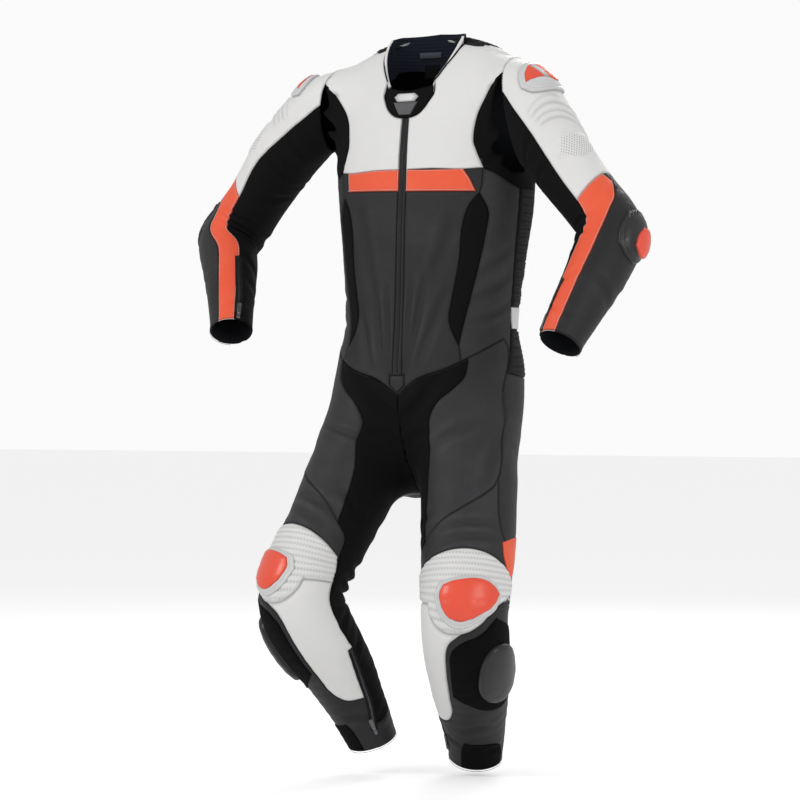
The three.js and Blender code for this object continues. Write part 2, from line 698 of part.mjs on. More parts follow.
// Trunk, left half as seen by the wearer; the right half is its mirror image
const ZIP_HALF = 4.2;
const SEAM_FRONT = [[62, -225], [56, -248], [52, -284], [50, -347], [45, -418], [43, -454], [49, -501]];
const SEAM_SIDE = [[67, -260], [66, -293], [64, -329], [57, -418]];
const YOKE_EDGE = [[66, -32], [63, -45], [59, -106], [60, -125], [64, -173]];
const TRUNK_LEFT = {
  side: {
    material: 'greyLeather',
    outline: [[64, -176], [68, -182], [86, -216], [87, -327], [88, -399], [89, -471], [84, -520], [77, -560],
      [47, -600], [48, -501], ...SEAM_SIDE.slice().reverse(), [62, -225]],
  },
  gusset: {
    material: 'stretch',
    outline: [...YOKE_EDGE, [68, -182], [86, -216], [102, -216], [112, -170], [115, -90], [108, -40],
      [96, -60], [80, -60]],
  },
  side_ribs: {
    material: 'stretch',
    gap: 0.8,
    row: RIB_PITCH / 2,
    outline: [[86, -216], [102, -216], [106, -426], [106, -471], [89, -471], [88, -399], [87, -327]],
    raise: (u, v) => (v > -424 ? ribs(RIB_PITCH, RIB_HEIGHT)(u, v) : 0),
  },
  front: {
    material: 'leather',
    outline: [[0, -150], [64, -150], [64, -176], ...SEAM_FRONT, [48, -600], [0, -620]],
    raise: frontFolds,
  },
  insert: {
    material: 'stretch',
    outline: [...SEAM_FRONT, ...SEAM_SIDE.slice().reverse()],
  },
};
const BAND_ENDS = { left: [[53, -173], [60, -223]], right: [[58, -165], [57, -216]] };
const YOKE = [[0, -157], [30, -162], [53, -173], [64, -173], ...YOKE_EDGE.slice(0, -1).reverse(), [74, -4],
  [96, -20], [103, -52], [118, -44], [136, -30], [136, 140], [0, 140]];
const NAPE_HALF = [[72, 100], [76, 81], [90, 47], [105, 30], [125, 8], [150, -8]];

const sided = (side, outline) => (side === 'left' ? outline : mirror(outline));
function sidedPanels(panels) {
  return ['left', 'right'].flatMap((side) => Object.entries(panels).map(([name, spec]) => ({
    ...spec, name: `${name}_${side}`, outline: sided(side, spec.outline),
  })));
}
const trunkPanels = [
  { name: 'back_panel', material: 'leather', outline: [[98, -60], [140, 60], [220, 60], [262, -60],
    [262, -471], [98, -471]] },
  { name: 'lumbar_ribs', material: 'stretch', row: RIB_PITCH / 2, raise: ribs(RIB_PITCH, RIB_HEIGHT),
    outline: [[89, -471], [271, -471], [279, -549], [279, -600], [81, -600], [81, -549]] },
  ...sidedPanels(TRUNK_LEFT),
  ...['left', 'right'].map((side) => ({
    name: `band_${side}`, material: 'orange',
    outline: sided(side, [[0, -157], ...BAND_ENDS[side], [0, -220]]),
  })),
  ...['left', 'right'].map((side) => ({
    name: `yoke_${side}`, material: 'white', outline: sided(side, YOKE),
  })),
  { name: 'nape_ribs', material: 'stretch', gap: 1, row: RIB_PITCH / 2, raise: ribs(RIB_PITCH, RIB_HEIGHT),
    outline: [...refine([...NAPE_HALF, [180, -14], ...NAPE_HALF.map(([u, v]) => [360 - u, v]).reverse()],
      trunkChart.perDegree, 12), [288, 140], [72, 140]] },
  { name: 'main_zip', material: 'leather', wall: 1.5, column: 3,
    raise: (u) => (Math.abs(u) < 1 ? 0.4 : 2.2),
    outline: [[-ZIP_HALF, -560], [ZIP_HALF, -560], [ZIP_HALF, 40], [-ZIP_HALF, 40]] },
  { name: 'zip_patch', material: 'leather', lift: 0.8,
    outline: [[-7, -553], [7, -553], [7, -572], [0, -586], [-7, -572]] },
];
addPanels(trunkChart, trunkPanels, TRUNK_HOLES);

// Collar: a band that stands up, white in front and black at the back, and a soft tab at the throat
const COLLAR_FRONT_END = 44.5;
const collarTop = [...pairs(COLLAR_TOP), ...pairs(COLLAR_TOP).reverse().slice(1).map(([u, v]) => [360 - u, v])];
const belowCollar = [[44, -44], ...COLLAR_SEAM, [316, -44], [316, -200], [44, -200]];
const aboveCollar = [...collarTop, [316, 120], [44, 120]];
const COLLAR_HOLES = [{ outline: belowCollar, gap: PART_GAP }, { outline: aboveCollar, gap: 0 }];
const collarPanel = (name, material, from, to) => ({
  name, material, row: 35, outline: [[from, -60], [to, -60], [to, 110], [from, 110]],
});
addPanels(neckChart, [
  collarPanel('collar_back', 'stretch', 96, 264),
  collarPanel('collar_front_left', 'white', COLLAR_FRONT_END, 96),
  collarPanel('collar_front_right', 'white', 264, 360 - COLLAR_FRONT_END),
], COLLAR_HOLES);
const TAB = [...refine(TAB_EDGE, neckChart.perDegree, SEAM_STEP), [44, -28], [28, -32], [8, -36], [-10, -36],
  [-28, -32], [-44, -28]];
addPanels(throatChart, [
  { name: 'collar_tab', material: 'stretch', row: 17.5, column: 15, wall: 3.2, lift: 1.2, outline: TAB },
], []);

// Sleeves. Degrees run from the outer side, 0, over the front, 90, to the underarm, 180.
const CUFFS = { left: 540, right: 578 };
const SLEEVE_PANELS = {
  sleeve_inner: { material: 'stretch', outline: [[60, -40], [272, -40], [272, 640], [60, 640]] },
  sleeve_elbow: {
    material: 'leather',
    column: 12.5,
    outline: [[-95, 200], [16, 200], [30, 240], [40, 270], [60, 320], [80, 400], [80, 640], [-95, 640]],
  },
  sleeve_outer: {
    material: 'white',
    outline: [[62, -40], [62, 0], [73, 40], [86, 105], [88, 238], [50, 221], [14, 209], [-30, 206],
      [-95, 206], [-95, -40]],
  },
  sleeve_stripe: {
    material: 'orange',
    gap: 1.3,
    outline: [[88, 238], [50, 221], [14, 209], [2, 226], [26, 262], [48, 295], [49, 380], [46, 640],
      [93, 640], [93, 400], [90, 300]],
  },
};
['left', 'right'].forEach((side) => {
  const ends = [
    { outline: [[-190, -60], [290, -60], [290, 0], [-190, 0]], gap: 0 },
    { outline: [[-190, CUFFS[side]], [290, CUFFS[side]], [290, 700], [-190, 700]], gap: 0 },
  ];
  const panels = Object.entries(SLEEVE_PANELS).map(([name, spec]) => ({ ...spec, name: `${name}_${side}` }));
  addPanels(SLEEVES[side], panels, ends);
});

// Trouser legs. Degrees run from the outer side, 0, over the front, 90, to the inseam, 180.
const HEM = 905;
const LEG_TURN = { left: 0, right: 8 };      // how far each leg's panels lie round towards the inseam
function crotchOutline(side) {
  const sign = side === 'left' ? 1 : -1;
  const chart = LEGS[side];
  const x = (u, v) => sign * chart.at(u, v).x;
  const find = (keep, lose, v) => {
    let [a, b] = [keep, lose];
    for (let i = 0; i < 14; i += 1) {
      const middle = (a + b) / 2;
      if (x(middle, v) > PLANE_GAP) a = middle;
      else b = middle;
    }
    return (a + b) / 2;
  };
  const front = [];
  const back = [];
  for (let v = 100; v < 400 && x(180, v) < PLANE_GAP; v += 14) {
    front.push([find(95, 180, v), v]);
    back.push([find(265, 180, v), v]);
  }
  return [[front[0][0], 20], ...front, ...back.reverse(), [back[back.length - 1][0], 20]];
}
function waistOutline(side) {
  const sign = side === 'left' ? 1 : -1;
  const line = waistRound.map(([u, v]) => trunkChart.at(u, v)).filter((p) => p.x * sign > -6);
  const pattern = unroll(line.map((p) => [
    deg(Math.atan2(LEG_AXIS_Y - p.y, p.x * sign - LEG_AXIS_X)), AXIS_TOP - p.z,
  ]));
  const [first, last] = [pattern[0], pattern[pattern.length - 1]];
  return [...pattern, [last[0], -60], [first[0], -60]];
}
const LEG_PANELS = {
  seat: { material: 'leather', outline: [[-175, 20], [30, 20], [16, 150], [13, 226], [22, 337], [16, 440],
    [-14, 500], [-22, 530], [-24, 560], [-90, 560], [-110, 500], [-140, 380], [-158, 250]] },
  inseam: { material: 'stretch', gap: 2, row: 35, outline: [[62, 20], [62, 125], [73, 147], [89, 172], [99, 208], [108, 288],
    [114, 360], [124, 460], [145, 478], [150, 512], [156, 535], [158, 560], [163, 651], [168, 700],
    [150, 800], [150, 860], [215, 860], [232, 700], [258, 600], [265, 560], [250, 500], [220, 380],
    [202, 250], [185, 20]] },
  thigh: { material: 'greyLeather', outline: [[-20, 20], [62, 20], [62, 125], [73, 147], [89, 172], [99, 208],
    [108, 288], [114, 360], [124, 460], [95, 432], [62, 402], [29, 358], [22, 337], [13, 226], [16, 150]] },
  over_knee: { material: 'greyLeather', outline: [[124, 460], [95, 432], [62, 402], [29, 358], [22, 337],
    [16, 440], [-14, 500], [-14, 540], [150, 540], [150, 512], [145, 478]] },
  calf: { material: 'leather', outline: [[-130, 560], [-60, 560], [150, 560], [163, 651], [168, 700],
    [152, 778], [147, 860], [214.7, 860], [214.7, 1000], [-145, 1000], [-145, 860], [-128, 700], [-102, 600]] },
  shin: { material: 'white', outline: [[-8, 556], [12, 568], [42, 588], [70, 600], [84, 612], [92, 650],
    [95, 718], [96, 756], [108, 784], [146, 802], [150, 758], [158, 699], [168, 700], [163, 651],
    [156, 556]] },
  knee: { material: 'white', outline: [[-14, 517], [24, 497], [58, 490], [95, 494], [122, 502], [147, 512],
    [154, 535], [156, 558], [112, 567], [108, 580], [92, 594], [66, 597], [39, 588], [12, 568],
    [-8, 556], [-22, 545], [-22, 530]] },
};
['left', 'right'].forEach((side) => {
  const turned = (outline) => outline.map(([u, v]) => [v < 330 ? u : u + LEG_TURN[side], v]);
  const holes = [
    { outline: waistOutline(side), gap: PART_GAP },
    { outline: crotchOutline(side), gap: 0 },
    { outline: [[-200, HEM], [290, HEM], [290, 1100], [-200, 1100]], gap: 0 },
  ];
  const panels = Object.entries(LEG_PANELS).map(([name, spec]) => ({
    ...spec, name: `${name}_${side}`, outline: turned(spec.outline),
  }));
  addPanels(LEGS[side], panels, holes);
});

const CREASES = [['seat', 'inseam', 4], ['inseam', 'calf', 3], ['calf', 'knee', 4], ['inseam', 'shin', 3],
  ['thigh', 'over_knee', 3], ['sleeve_inner', 'sleeve_stripe', 3], ['sleeve_inner', 'sleeve_elbow', 3],
  ['sleeve_elbow', 'sleeve_stripe', 4],
  ['front', 'insert', 3]];
['left', 'right'].forEach((side) => {
  CREASES.forEach(([name, over, depth]) => cutBack(`${name}_${side}`, `${over}_${side}`, depth));
});

// Collar lining: it hangs inside the collar and runs on down into the neck
const LINING_FROM = 46;
const LINING_SPACE = 1.2;
const LINING_DROP = 60;
const liningAt = (u, v, inset) => collarPoint(u, v, WALL + LINING_SPACE + inset);
{
  const from = LINING_FROM;
  const to = 360 - LINING_FROM;
  const top = collarTop.map(([u, v]) => [Math.min(Math.max(u, from), to), v - 1]);
  const low = COLLAR_SEAM.map(([u, v]) => [u, Math.max(v - LINING_DROP, -40)]);
  const outline = [[from, -40], ...low, [to, -40], ...top.slice().reverse()];
  const flat = cutFlat(neckChart, { outline, row: 35 }, []);
  const draped = drape(neckChart, flat, (u, v, outer) => liningAt(u, v, outer ? 0 : LINING));
  addMesh('collar_lining', 'stretch', draped.geometry);
}
// Hanger loop: a strap across the back of the lining, standing off it between its two ends
const LOOP = { from: 178, to: 222, low: 33, high: 44, bulge: 2, thick: 1.5, seat: 0.9 };
{
  const outline = [[LOOP.from, LOOP.low], [LOOP.to, LOOP.low], [LOOP.to, LOOP.high], [LOOP.from, LOOP.high]];
  const flat = cutFlat(neckChart, { outline, row: 35, column: 5 }, []);
  const place = (u, v, outer) => {
    const share = (u - LOOP.from) / (LOOP.to - LOOP.from);
    const stand = LOOP.seat + LOOP.bulge * Math.sin(Math.PI * Math.min(1, Math.max(0, share)));
    return liningAt(u, v, LINING + stand + (outer ? 0 : LOOP.thick));
  };
  addMesh('hanger_loop', 'greyLeather', drape(neckChart, flat, place).geometry);
}

// Hard pieces. A height is worked out from how far a point is from the middle of its outline.
function superEllipse({ u, v, halfU, halfV, power = 2.6, count = 16 }) {
  return Array.from({ length: count }, (unused, i) => {
    const a = i * 2 * Math.PI / count;
    const bend = (c) => Math.sign(c) * Math.abs(c) ** (2 / power);
    return [u + halfU * bend(Math.cos(a)), v + halfV * bend(Math.sin(a))];
  });
}
const nearness = ({ u, v, halfU, halfV, power = 2.6 }, x, y) => Math.max(0,
  1 - (Math.abs((x - u) / halfU) ** power + Math.abs((y - v) / halfV) ** power) ** (1 / power));
const rise = (share, reach) => Math.min(1, share / reach);

const SHOULDER_PLATE = { u: 8, v: 61, halfU: 34, halfV: 23 };
const ELBOW_GUARD = { u: -20, v: 322, halfU: 42, halfV: 40 };
const ELBOW_SLIDER = { u: -34, v: 326, halfU: 26, halfV: 22 };
const KNEE_GUARD = { u: 54, v: 562, halfU: 45, halfV: 29 };
const KNEE_INSERT = { u: 55, v: 561, halfU: 37, halfV: 21 };
const KNEE_SLIDER = { u: 14, v: 676, halfU: 36, halfV: 60 };
['left', 'right'].forEach((side) => {
  const turned = (shape, turn) => ({ ...shape, u: shape.u + turn });
  addHardPiece({
    name: `shoulder_plate_${side}`, material: 'plastic', carrier: `sleeve_outer_${side}`,
    outline: superEllipse(SHOULDER_PLATE),
    height: (u, v) => 2 + 5 * rise(nearness(SHOULDER_PLATE, u, v), 0.5),
  });
  addHardPiece({
    name: `elbow_guard_${side}`, material: 'plastic', carrier: `sleeve_elbow_${side}`,
    outline: superEllipse(ELBOW_GUARD),
    lay: 0.9,
    height: (u, v) => 3 + 5 * rise(nearness(ELBOW_GUARD, u, v), 0.4)
      + 6 * rise(nearness(ELBOW_SLIDER, u, v), 0.3),
  });
  const turn = LEG_TURN[side];
  const guard = turned(KNEE_GUARD, turn);
  const insert = turned(KNEE_INSERT, turn);
  const slider = turned(KNEE_SLIDER, turn);
  addHardPiece({
    name: `knee_guard_${side}`, material: 'orange', carrier: `knee_${side}`,
    outline: superEllipse(guard),
    lay: 1.8,
    height: (u, v) => 3 + 4 * rise(nearness(guard, u, v), 0.35) + 3 * rise(nearness(insert, u, v), 0.3),
  });
  addHardPiece({
    name: `knee_slider_${side}`, material: 'plastic', carrier: `calf_${side}`,
    outline: superEllipse(slider),
    height: (u, v) => 5 + 9 * rise(nearness(slider, u, v), 0.4),
  });
});

// Zip pulls. The main zip's is moulded and folded up on the throat tab, the others are small metal tabs.
const MAIN_PULL = [[-24, -58], [22, -58], [9, -81], [-11, -81]];
addHardPiece({
  name: 'main_zip_pull', material: 'plastic', carrier: 'collar_tab', outline: MAIN_PULL, split: 1,
  height: () => 3.5,
});
const PULL = { length: 24, width: 8, neck: 5, thick: 2, stand: 0.7 };
function pullShape() {
  const shape = new THREE.Shape();
  shape.moveTo(-PULL.neck / 2, 0);
  shape.lineTo(PULL.neck / 2, 0);
  shape.lineTo(PULL.width / 2, PULL.length * 0.4);
  shape.lineTo(PULL.width / 2, PULL.length - 2);
  shape.lineTo(PULL.width / 2 - 2, PULL.length);
  shape.lineTo(2 - PULL.width / 2, PULL.length);
  shape.lineTo(-PULL.width / 2, PULL.length - 2);
  shape.lineTo(-PULL.width / 2, PULL.length * 0.4);
  return shape;
}
// A pull starts at its hinge, at v on the panel, and lies along the panel towards the elbow or knee
function addPull(name, carrier, u, v) {
  const piece = pieces[carrier];
  const from = facetOf(piece, u, v);
  const to = facetOf(piece, u, v - PULL.length);
  const up = piece.chart.outward(u, v - PULL.length / 2);
  const along = to.clone().sub(from).normalize();
  const across = along.clone().cross(up).normalize();
  const away = across.clone().cross(along).normalize();
  const geometry = new THREE.ExtrudeGeometry(pullShape(), { depth: PULL.thick, bevelEnabled: false });
  const place = new THREE.Matrix4().makeBasis(across, along, away);
  place.setPosition(from.clone().addScaledVector(away, PULL.stand));
  geometry.applyMatrix4(place);
  addMesh(name, 'metal', geometry);
}
const WRIST_PULL = { u: 104, rise: 12 };
const ANKLE_PULL = { u: 136, rise: 36 };
['left', 'right'].forEach((side) => {
  addPull(`wrist_pull_${side}`, `sleeve_inner_${side}`, WRIST_PULL.u, CUFFS[side] - WRIST_PULL.rise);
  addPull(`ankle_pull_${side}`, `calf_${side}`, ANKLE_PULL.u + LEG_TURN[side], HEM - ANKLE_PULL.rise);
});

export default suit;
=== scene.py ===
# %% [markdown]
# # A motorcycle race suit
# This lesson dresses the solids of a one-piece leather race suit. The suit has no wearer in it and keeps
# the shape of one. All its cloth lies on one smooth form, so the lesson first builds that form as numbers,
# then lays every sewn piece on it, and then adds seams, ribs, zips and moulded guards.

# %% Load the solids
import math
import bpy
import numpy as np
from mathutils import Matrix, Vector
from mathutils.geometry import delaunay_2d_cdt
from mathutils.kdtree import KDTree


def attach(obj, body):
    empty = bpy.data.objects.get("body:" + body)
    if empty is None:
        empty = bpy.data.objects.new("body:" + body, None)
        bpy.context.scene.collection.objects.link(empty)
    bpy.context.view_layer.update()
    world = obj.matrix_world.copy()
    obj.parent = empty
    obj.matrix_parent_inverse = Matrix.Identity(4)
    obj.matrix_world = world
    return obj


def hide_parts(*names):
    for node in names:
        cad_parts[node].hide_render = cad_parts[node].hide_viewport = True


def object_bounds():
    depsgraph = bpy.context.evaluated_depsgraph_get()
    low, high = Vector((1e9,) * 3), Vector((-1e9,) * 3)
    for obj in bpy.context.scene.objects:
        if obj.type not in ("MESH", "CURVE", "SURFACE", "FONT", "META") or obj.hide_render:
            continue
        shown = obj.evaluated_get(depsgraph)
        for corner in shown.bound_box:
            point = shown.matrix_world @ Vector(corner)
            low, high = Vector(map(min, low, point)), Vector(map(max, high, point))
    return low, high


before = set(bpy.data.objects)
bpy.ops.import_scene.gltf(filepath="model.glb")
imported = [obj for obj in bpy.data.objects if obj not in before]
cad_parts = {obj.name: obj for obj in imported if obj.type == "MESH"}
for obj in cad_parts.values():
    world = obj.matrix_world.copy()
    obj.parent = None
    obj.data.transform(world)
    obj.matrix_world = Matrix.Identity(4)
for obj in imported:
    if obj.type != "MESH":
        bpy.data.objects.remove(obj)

CAD_BOX = [list(corner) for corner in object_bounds()]
print("solids", len(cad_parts), "box", CAD_BOX)

# %% [markdown]
# ## The camera
# The suit was photographed from its left front, level with its middle, through a long lens. One pixel of
# the 800 pixel frame is 1.84 mm at the suit, so the target and the lens follow from that and the distance.

# %% Place the camera
PIXEL = 1.84
DISTANCE = 6000.0
AZIMUTH = math.radians(33)
camera_right = np.array([math.cos(AZIMUTH), math.sin(AZIMUTH), 0.0])
camera_back = np.array([math.sin(AZIMUTH), -math.cos(AZIMUTH), 0.0])
target = camera_right * (400 - 434) * PIXEL + np.array([0, 0, (75 - 400) * PIXEL])
eye = target + camera_back * DISTANCE
camera_data = bpy.data.cameras.new("photo_camera")
camera_data.sensor_width = 36.0
camera_data.lens = 36.0 * DISTANCE / (800 * PIXEL)
camera = bpy.data.objects.new("photo_camera", camera_data)
axes = Matrix((camera_right, (0, 0, 1), camera_back)).transposed()
camera.matrix_world = Matrix.Translation(Vector(eye / 1000)) @ axes.to_4x4()
bpy.context.scene.collection.objects.link(camera)
bpy.context.scene.camera = camera
print("lens", round(camera_data.lens, 1))

# %% [markdown]
# ## Floor and light
# A catalogue picture has hardly any shadow. A wide pale floor, a bright even surround and three large soft
# lamps give the same, and the lamp beside the camera draws the soft gloss on the black leather.

# %% Build the floor and the lamps
FLOOR_Z = CAD_BOX[0][2] - 0.012
floor_mesh = bpy.data.meshes.new("studio_floor")
floor_mesh.from_pydata([(-30, -30, FLOOR_Z), (30, -30, FLOOR_Z), (30, 30, FLOOR_Z), (-30, 30, FLOOR_Z)],
                       [], [(0, 1, 2, 3)])
floor = bpy.data.objects.new("studio_floor", floor_mesh)
bpy.context.scene.collection.objects.link(floor)


def lamp(name, place, aim, size, power):
    data = bpy.data.lights.new(name, "AREA")
    data.shape = "DISK"
    data.size = size
    data.energy = power
    made = bpy.data.objects.new(name, data)
    made.location = place
    made.rotation_euler = (Vector(aim) - Vector(place)).to_track_quat("-Z", "Y").to_euler()
    bpy.context.scene.collection.objects.link(made)
    return made


middle = (0.0, 0.0, -0.55)
lamp("key_lamp", (-1.6, -3.4, 1.6), middle, 1.6, 40)
lamp("side_lamp", (3.6, -1.2, 0.7), middle, 1.8, 26)
lamp("back_lamp", (-1.0, 3.2, 1.8), middle, 2.0, 46)
world = bpy.data.worlds.new("studio")
bpy.context.scene.world = world
world.use_nodes = True
backdrop = world.node_tree.nodes["Background"]
backdrop.inputs["Color"].default_value = (1, 1, 1, 1)
seen = world.node_tree.nodes.new("ShaderNodeLightPath").outputs["Is Camera Ray"]
strength = world.node_tree.nodes.new("ShaderNodeMapRange")
strength.inputs["To Min"].default_value = 0.56
strength.inputs["To Max"].default_value = 0.96
world.node_tree.links.new(seen, strength.inputs["Value"])
world.node_tree.links.new(strength.outputs[0], backdrop.inputs["Strength"])
bpy.context.scene.view_settings.view_transform = "Standard"

# %% [markdown]
# ## The form
# A tailor's form for this suit has a trunk, two bent arms and two bent legs. Each is a run of sections,
# and a soft minimum melts them together at the shoulders and the hips. It could be sculpted instead, but
# then no seam could be given in numbers. The sections are the ones that the solids are made from.

# %% Write down the sections
TRUNK = [(-700, 0, 110, 70, 80), (-640, 0, 150, 100, 112), (-590, -4, 166, 116, 120), (-540, -5, 170, 120, 114),
         (-480, -6, 167, 115, 100), (-414, -4, 170, 113, 95), (-322, 0, 180, 114, 110), (-230, 4, 192, 113, 124),
         (-150, 4, 196, 108, 124), (-80, 0, 196, 94, 108), (-30, -6, 186, 72, 84), (4, -10, 158, 50, 60),
         (16, -12, 104, 46, 54)]
ARM_LEFT = [(185, -20, -30, 46, 60, 56, 60), (212, -24, -42, 48, 70, 62, 64), (236, -27, -80, 54, 74, 68, 68),
            (274, -33, -144, 58, 66, 66, 66), (336, -40, -222, 54, 58, 60, 60), (386, -46, -280, 58, 54, 60, 60),
            (402, -60, -312, 60, 52, 58, 62), (402, -95, -362, 55, 52, 55, 58), (392, -140, -425, 46, 46, 48, 50),
            (383, -178, -478, 40, 40, 41, 42), (380, -196, -503, 38, 38, 38, 39)]
ARM_RIGHT = [(-185, -20, -30, 46, 60, 56, 60), (-228, -22, -42, 48, 70, 62, 64), (-272, -16, -80, 54, 72, 68, 68),
             (-332, -8, -138, 58, 64, 66, 66), (-394, 0, -212, 56, 56, 60, 60), (-438, 4, -268, 62, 52, 60, 60),
             (-450, -12, -302, 62, 50, 58, 62), (-422, -52, -350, 54, 50, 54, 56), (-394, -92, -402, 45, 45, 47, 49),
             (-369, -126, -452, 40, 40, 40, 41), (-360, -140, -474, 39, 39, 38, 39)]
LEG_LEFT = [(84, -12, -560, 70, 90, 96, 104), (88, -20, -640, 77, 86, 98, 102), (105, -50, -740, 88, 84, 92, 94),
            (128, -88, -850, 84, 84, 88, 88), (150, -128, -940, 78, 78, 84, 78), (155, -140, -985, 76, 76, 82, 74),
            (142, -114, -1040, 76, 78, 76, 76), (118, -64, -1110, 70, 72, 66, 72), (96, -16, -1185, 57, 58, 54, 60),
            (82, 12, -1240, 50, 50, 48, 50), (76, 20, -1262, 48, 48, 47, 48)]
LEG_RIGHT = [(-84, -12, -560, 90, 90, 96, 104), (-92, -34, -640, 100, 82, 104, 100), (-104, -88, -730, 94, 72, 98, 90),
             (-120, -150, -830, 84, 68, 90, 80), (-136, -202, -915, 82, 68, 84, 72), (-142, -218, -962, 77, 72, 82, 72),
             (-134, -198, -1015, 74, 74, 74, 78), (-118, -148, -1085, 64, 64, 62, 72),
             (-101, -106, -1155, 54, 52, 50, 58), (-90, -74, -1215, 46, 45, 43, 49), (-87, -64, -1240, 45, 43, 42, 46)]
print("sections", len(TRUNK), len(ARM_LEFT), len(LEG_LEFT))


# %% Run a smooth tube through the sections
def smooth_rows(rows, count):
    rows = np.array(rows, float)
    ext = np.vstack([2 * rows[0] - rows[1], rows, 2 * rows[-1] - rows[-2]])
    place = np.linspace(0, len(rows) - 1, count)
    i = np.minimum(place.astype(int), len(rows) - 2)
    t = (place - i)[:, None]
    a, b, c, d = ext[i], ext[i + 1], ext[i + 2], ext[i + 3]
    return 0.5 * (2 * b + (c - a) * t + (2 * a - 5 * b + 4 * c - d) * t ** 2 + (3 * b - a - 3 * c + d) * t ** 3)


def unit(v):
    return v / np.maximum(np.linalg.norm(v, axis=-1, keepdims=True), 1e-12)


class Tube:
    def __init__(self, rows, count, power, side=1, lift=0.0):
        rows = smooth_rows(rows, count)
        self.flat = power > 2
        self.power = power
        if self.flat:
            self.centres = np.stack([0 * rows[:, 0], rows[:, 1], rows[:, 0]], 1)
            self.radii = rows[:, [2, 2, 3, 4]]
            self.out = np.tile([1.0, 0, 0], (count, 1))
            self.front = np.tile([0, -1.0, 0], (count, 1))
            return
        self.centres, self.radii = rows[:, :3], rows[:, 3:7]
        along = unit(np.gradient(self.centres, axis=0))
        outward = unit(np.array([side, 0, lift], float))
        self.out = unit(outward - (along @ outward)[:, None] * along)
        front = np.cross(along, self.out)
        self.front = front * np.where(front[:, 1:2] > 0, -1, 1)

    def distance(self, p):
        best = np.full(len(p), 1e9)
        for i in range(len(self.centres) - 1):
            a, d = self.centres[i], self.centres[i + 1] - self.centres[i]
            square = d @ d
            t = np.clip((p - a) @ d / square, 0, 1)
            s = 1 - t
            r = p - a - t[:, None] * d
            out = (r @ self.out[i]) * s + (r @ self.out[i + 1]) * t
            front = (r @ self.front[i]) * s + (r @ self.front[i + 1]) * t
            q, w = self.radii[i], self.radii[i + 1]
            side = np.where(out > 0, q[0] * s + w[0] * t, q[1] * s + w[1] * t)
            face = np.where(front > 0, q[2] * s + w[2] * t, q[3] * s + w[3] * t)
            cap = np.minimum(side, face) if self.flat else (side + face) / 2
            n = self.power
            along = np.abs(r @ d) / math.sqrt(square) / cap
            if n == 2:
                size = np.sqrt((out / side) ** 2 + (front / face) ** 2 + along ** 2)
            else:
                size = ((np.abs(out) / side) ** n + (np.abs(front) / face) ** n + along ** n) ** (1 / n)
            length = np.sqrt((r * r).sum(1))
            best = np.minimum(best, np.where(length < 1e-6, -cap, length * (1 - 1 / np.maximum(size, 1e-6))))
        return best


def soft_min(a, b, width):
    h = np.maximum(width - np.abs(a - b), 0) / width
    return np.minimum(a, b) - h * h * width / 4


trunk_tube = Tube(TRUNK, 60, 2.35)
arm_tubes = {"left": Tube(ARM_LEFT, 40, 2, 1, 0.6), "right": Tube(ARM_RIGHT, 40, 2, -1, 0.6)}
leg_tubes = {"left": Tube(LEG_LEFT, 40, 2, 1), "right": Tube(LEG_RIGHT, 40, 2, -1)}


def form(p, parts):
    value = trunk_tube.distance(p)
    for side in ("left", "right"):
        if "arm_" + side in parts:
            value = soft_min(value, arm_tubes[side].distance(p), 46)
    if "legs" in parts:
        legs = soft_min(leg_tubes["left"].distance(p), leg_tubes["right"].distance(p), 24)
        value = soft_min(value, legs, 50)
    return value


def outwards(p, parts):
    corners = np.array([(1, -1, -1), (-1, -1, 1), (-1, 1, -1), (1, 1, 1)], float)
    return unit(sum(form(p + 1.5 * c, parts)[:, None] * c for c in corners))


print("a point of the chest lies", round(float(form(np.array([[0, -113.0, -322]]), ())[0]), 2), "mm off the form")

# %% [markdown]
# ## Charts
# A pattern piece is drawn on a chart: u is the angle around the trunk or a limb, v the millimetres along
# it. Rays from the axis to the form turn chart points into points of the suit. Each chart is worked out
# once on a coarse net and read from it by a smooth blend, and then every point is moved onto the form.

# %% Rays of the trunk, the limbs and the collar
FAN_Z, FAN_RATE = -200.0, 0.25
ARMHOLE = np.array([205.0, -22.0, -82.0])
ARMHOLE_TILT = math.radians(9.2)
AXIS_TOP, LEG_AXIS_X, LEG_AXIS_Y = -430.0, 84.0, -14.0
COLLAR_Y, COLLAR_HALF, COLLAR_DEPTH = -30.0, 80.0, 60.0


def trunk_rays(u, v):
    tilt = np.radians(np.maximum(v - FAN_Z, 0) * FAN_RATE)
    turn = np.radians(u)
    origin = np.stack([0 * u, 0 * u, np.minimum(v, FAN_Z)], 1)
    return origin, np.stack([np.sin(turn) * np.cos(tilt), -np.cos(turn) * np.cos(tilt), np.sin(tilt)], 1)


def trunk_pattern(p):
    u = np.degrees(np.arctan2(p[:, 0], -p[:, 1]))
    rise = np.degrees(np.arctan2(p[:, 2] - FAN_Z, np.hypot(p[:, 0], p[:, 1]))) / FAN_RATE
    return np.stack([u, np.where(p[:, 2] <= FAN_Z, p[:, 2], FAN_Z + rise)], 1)


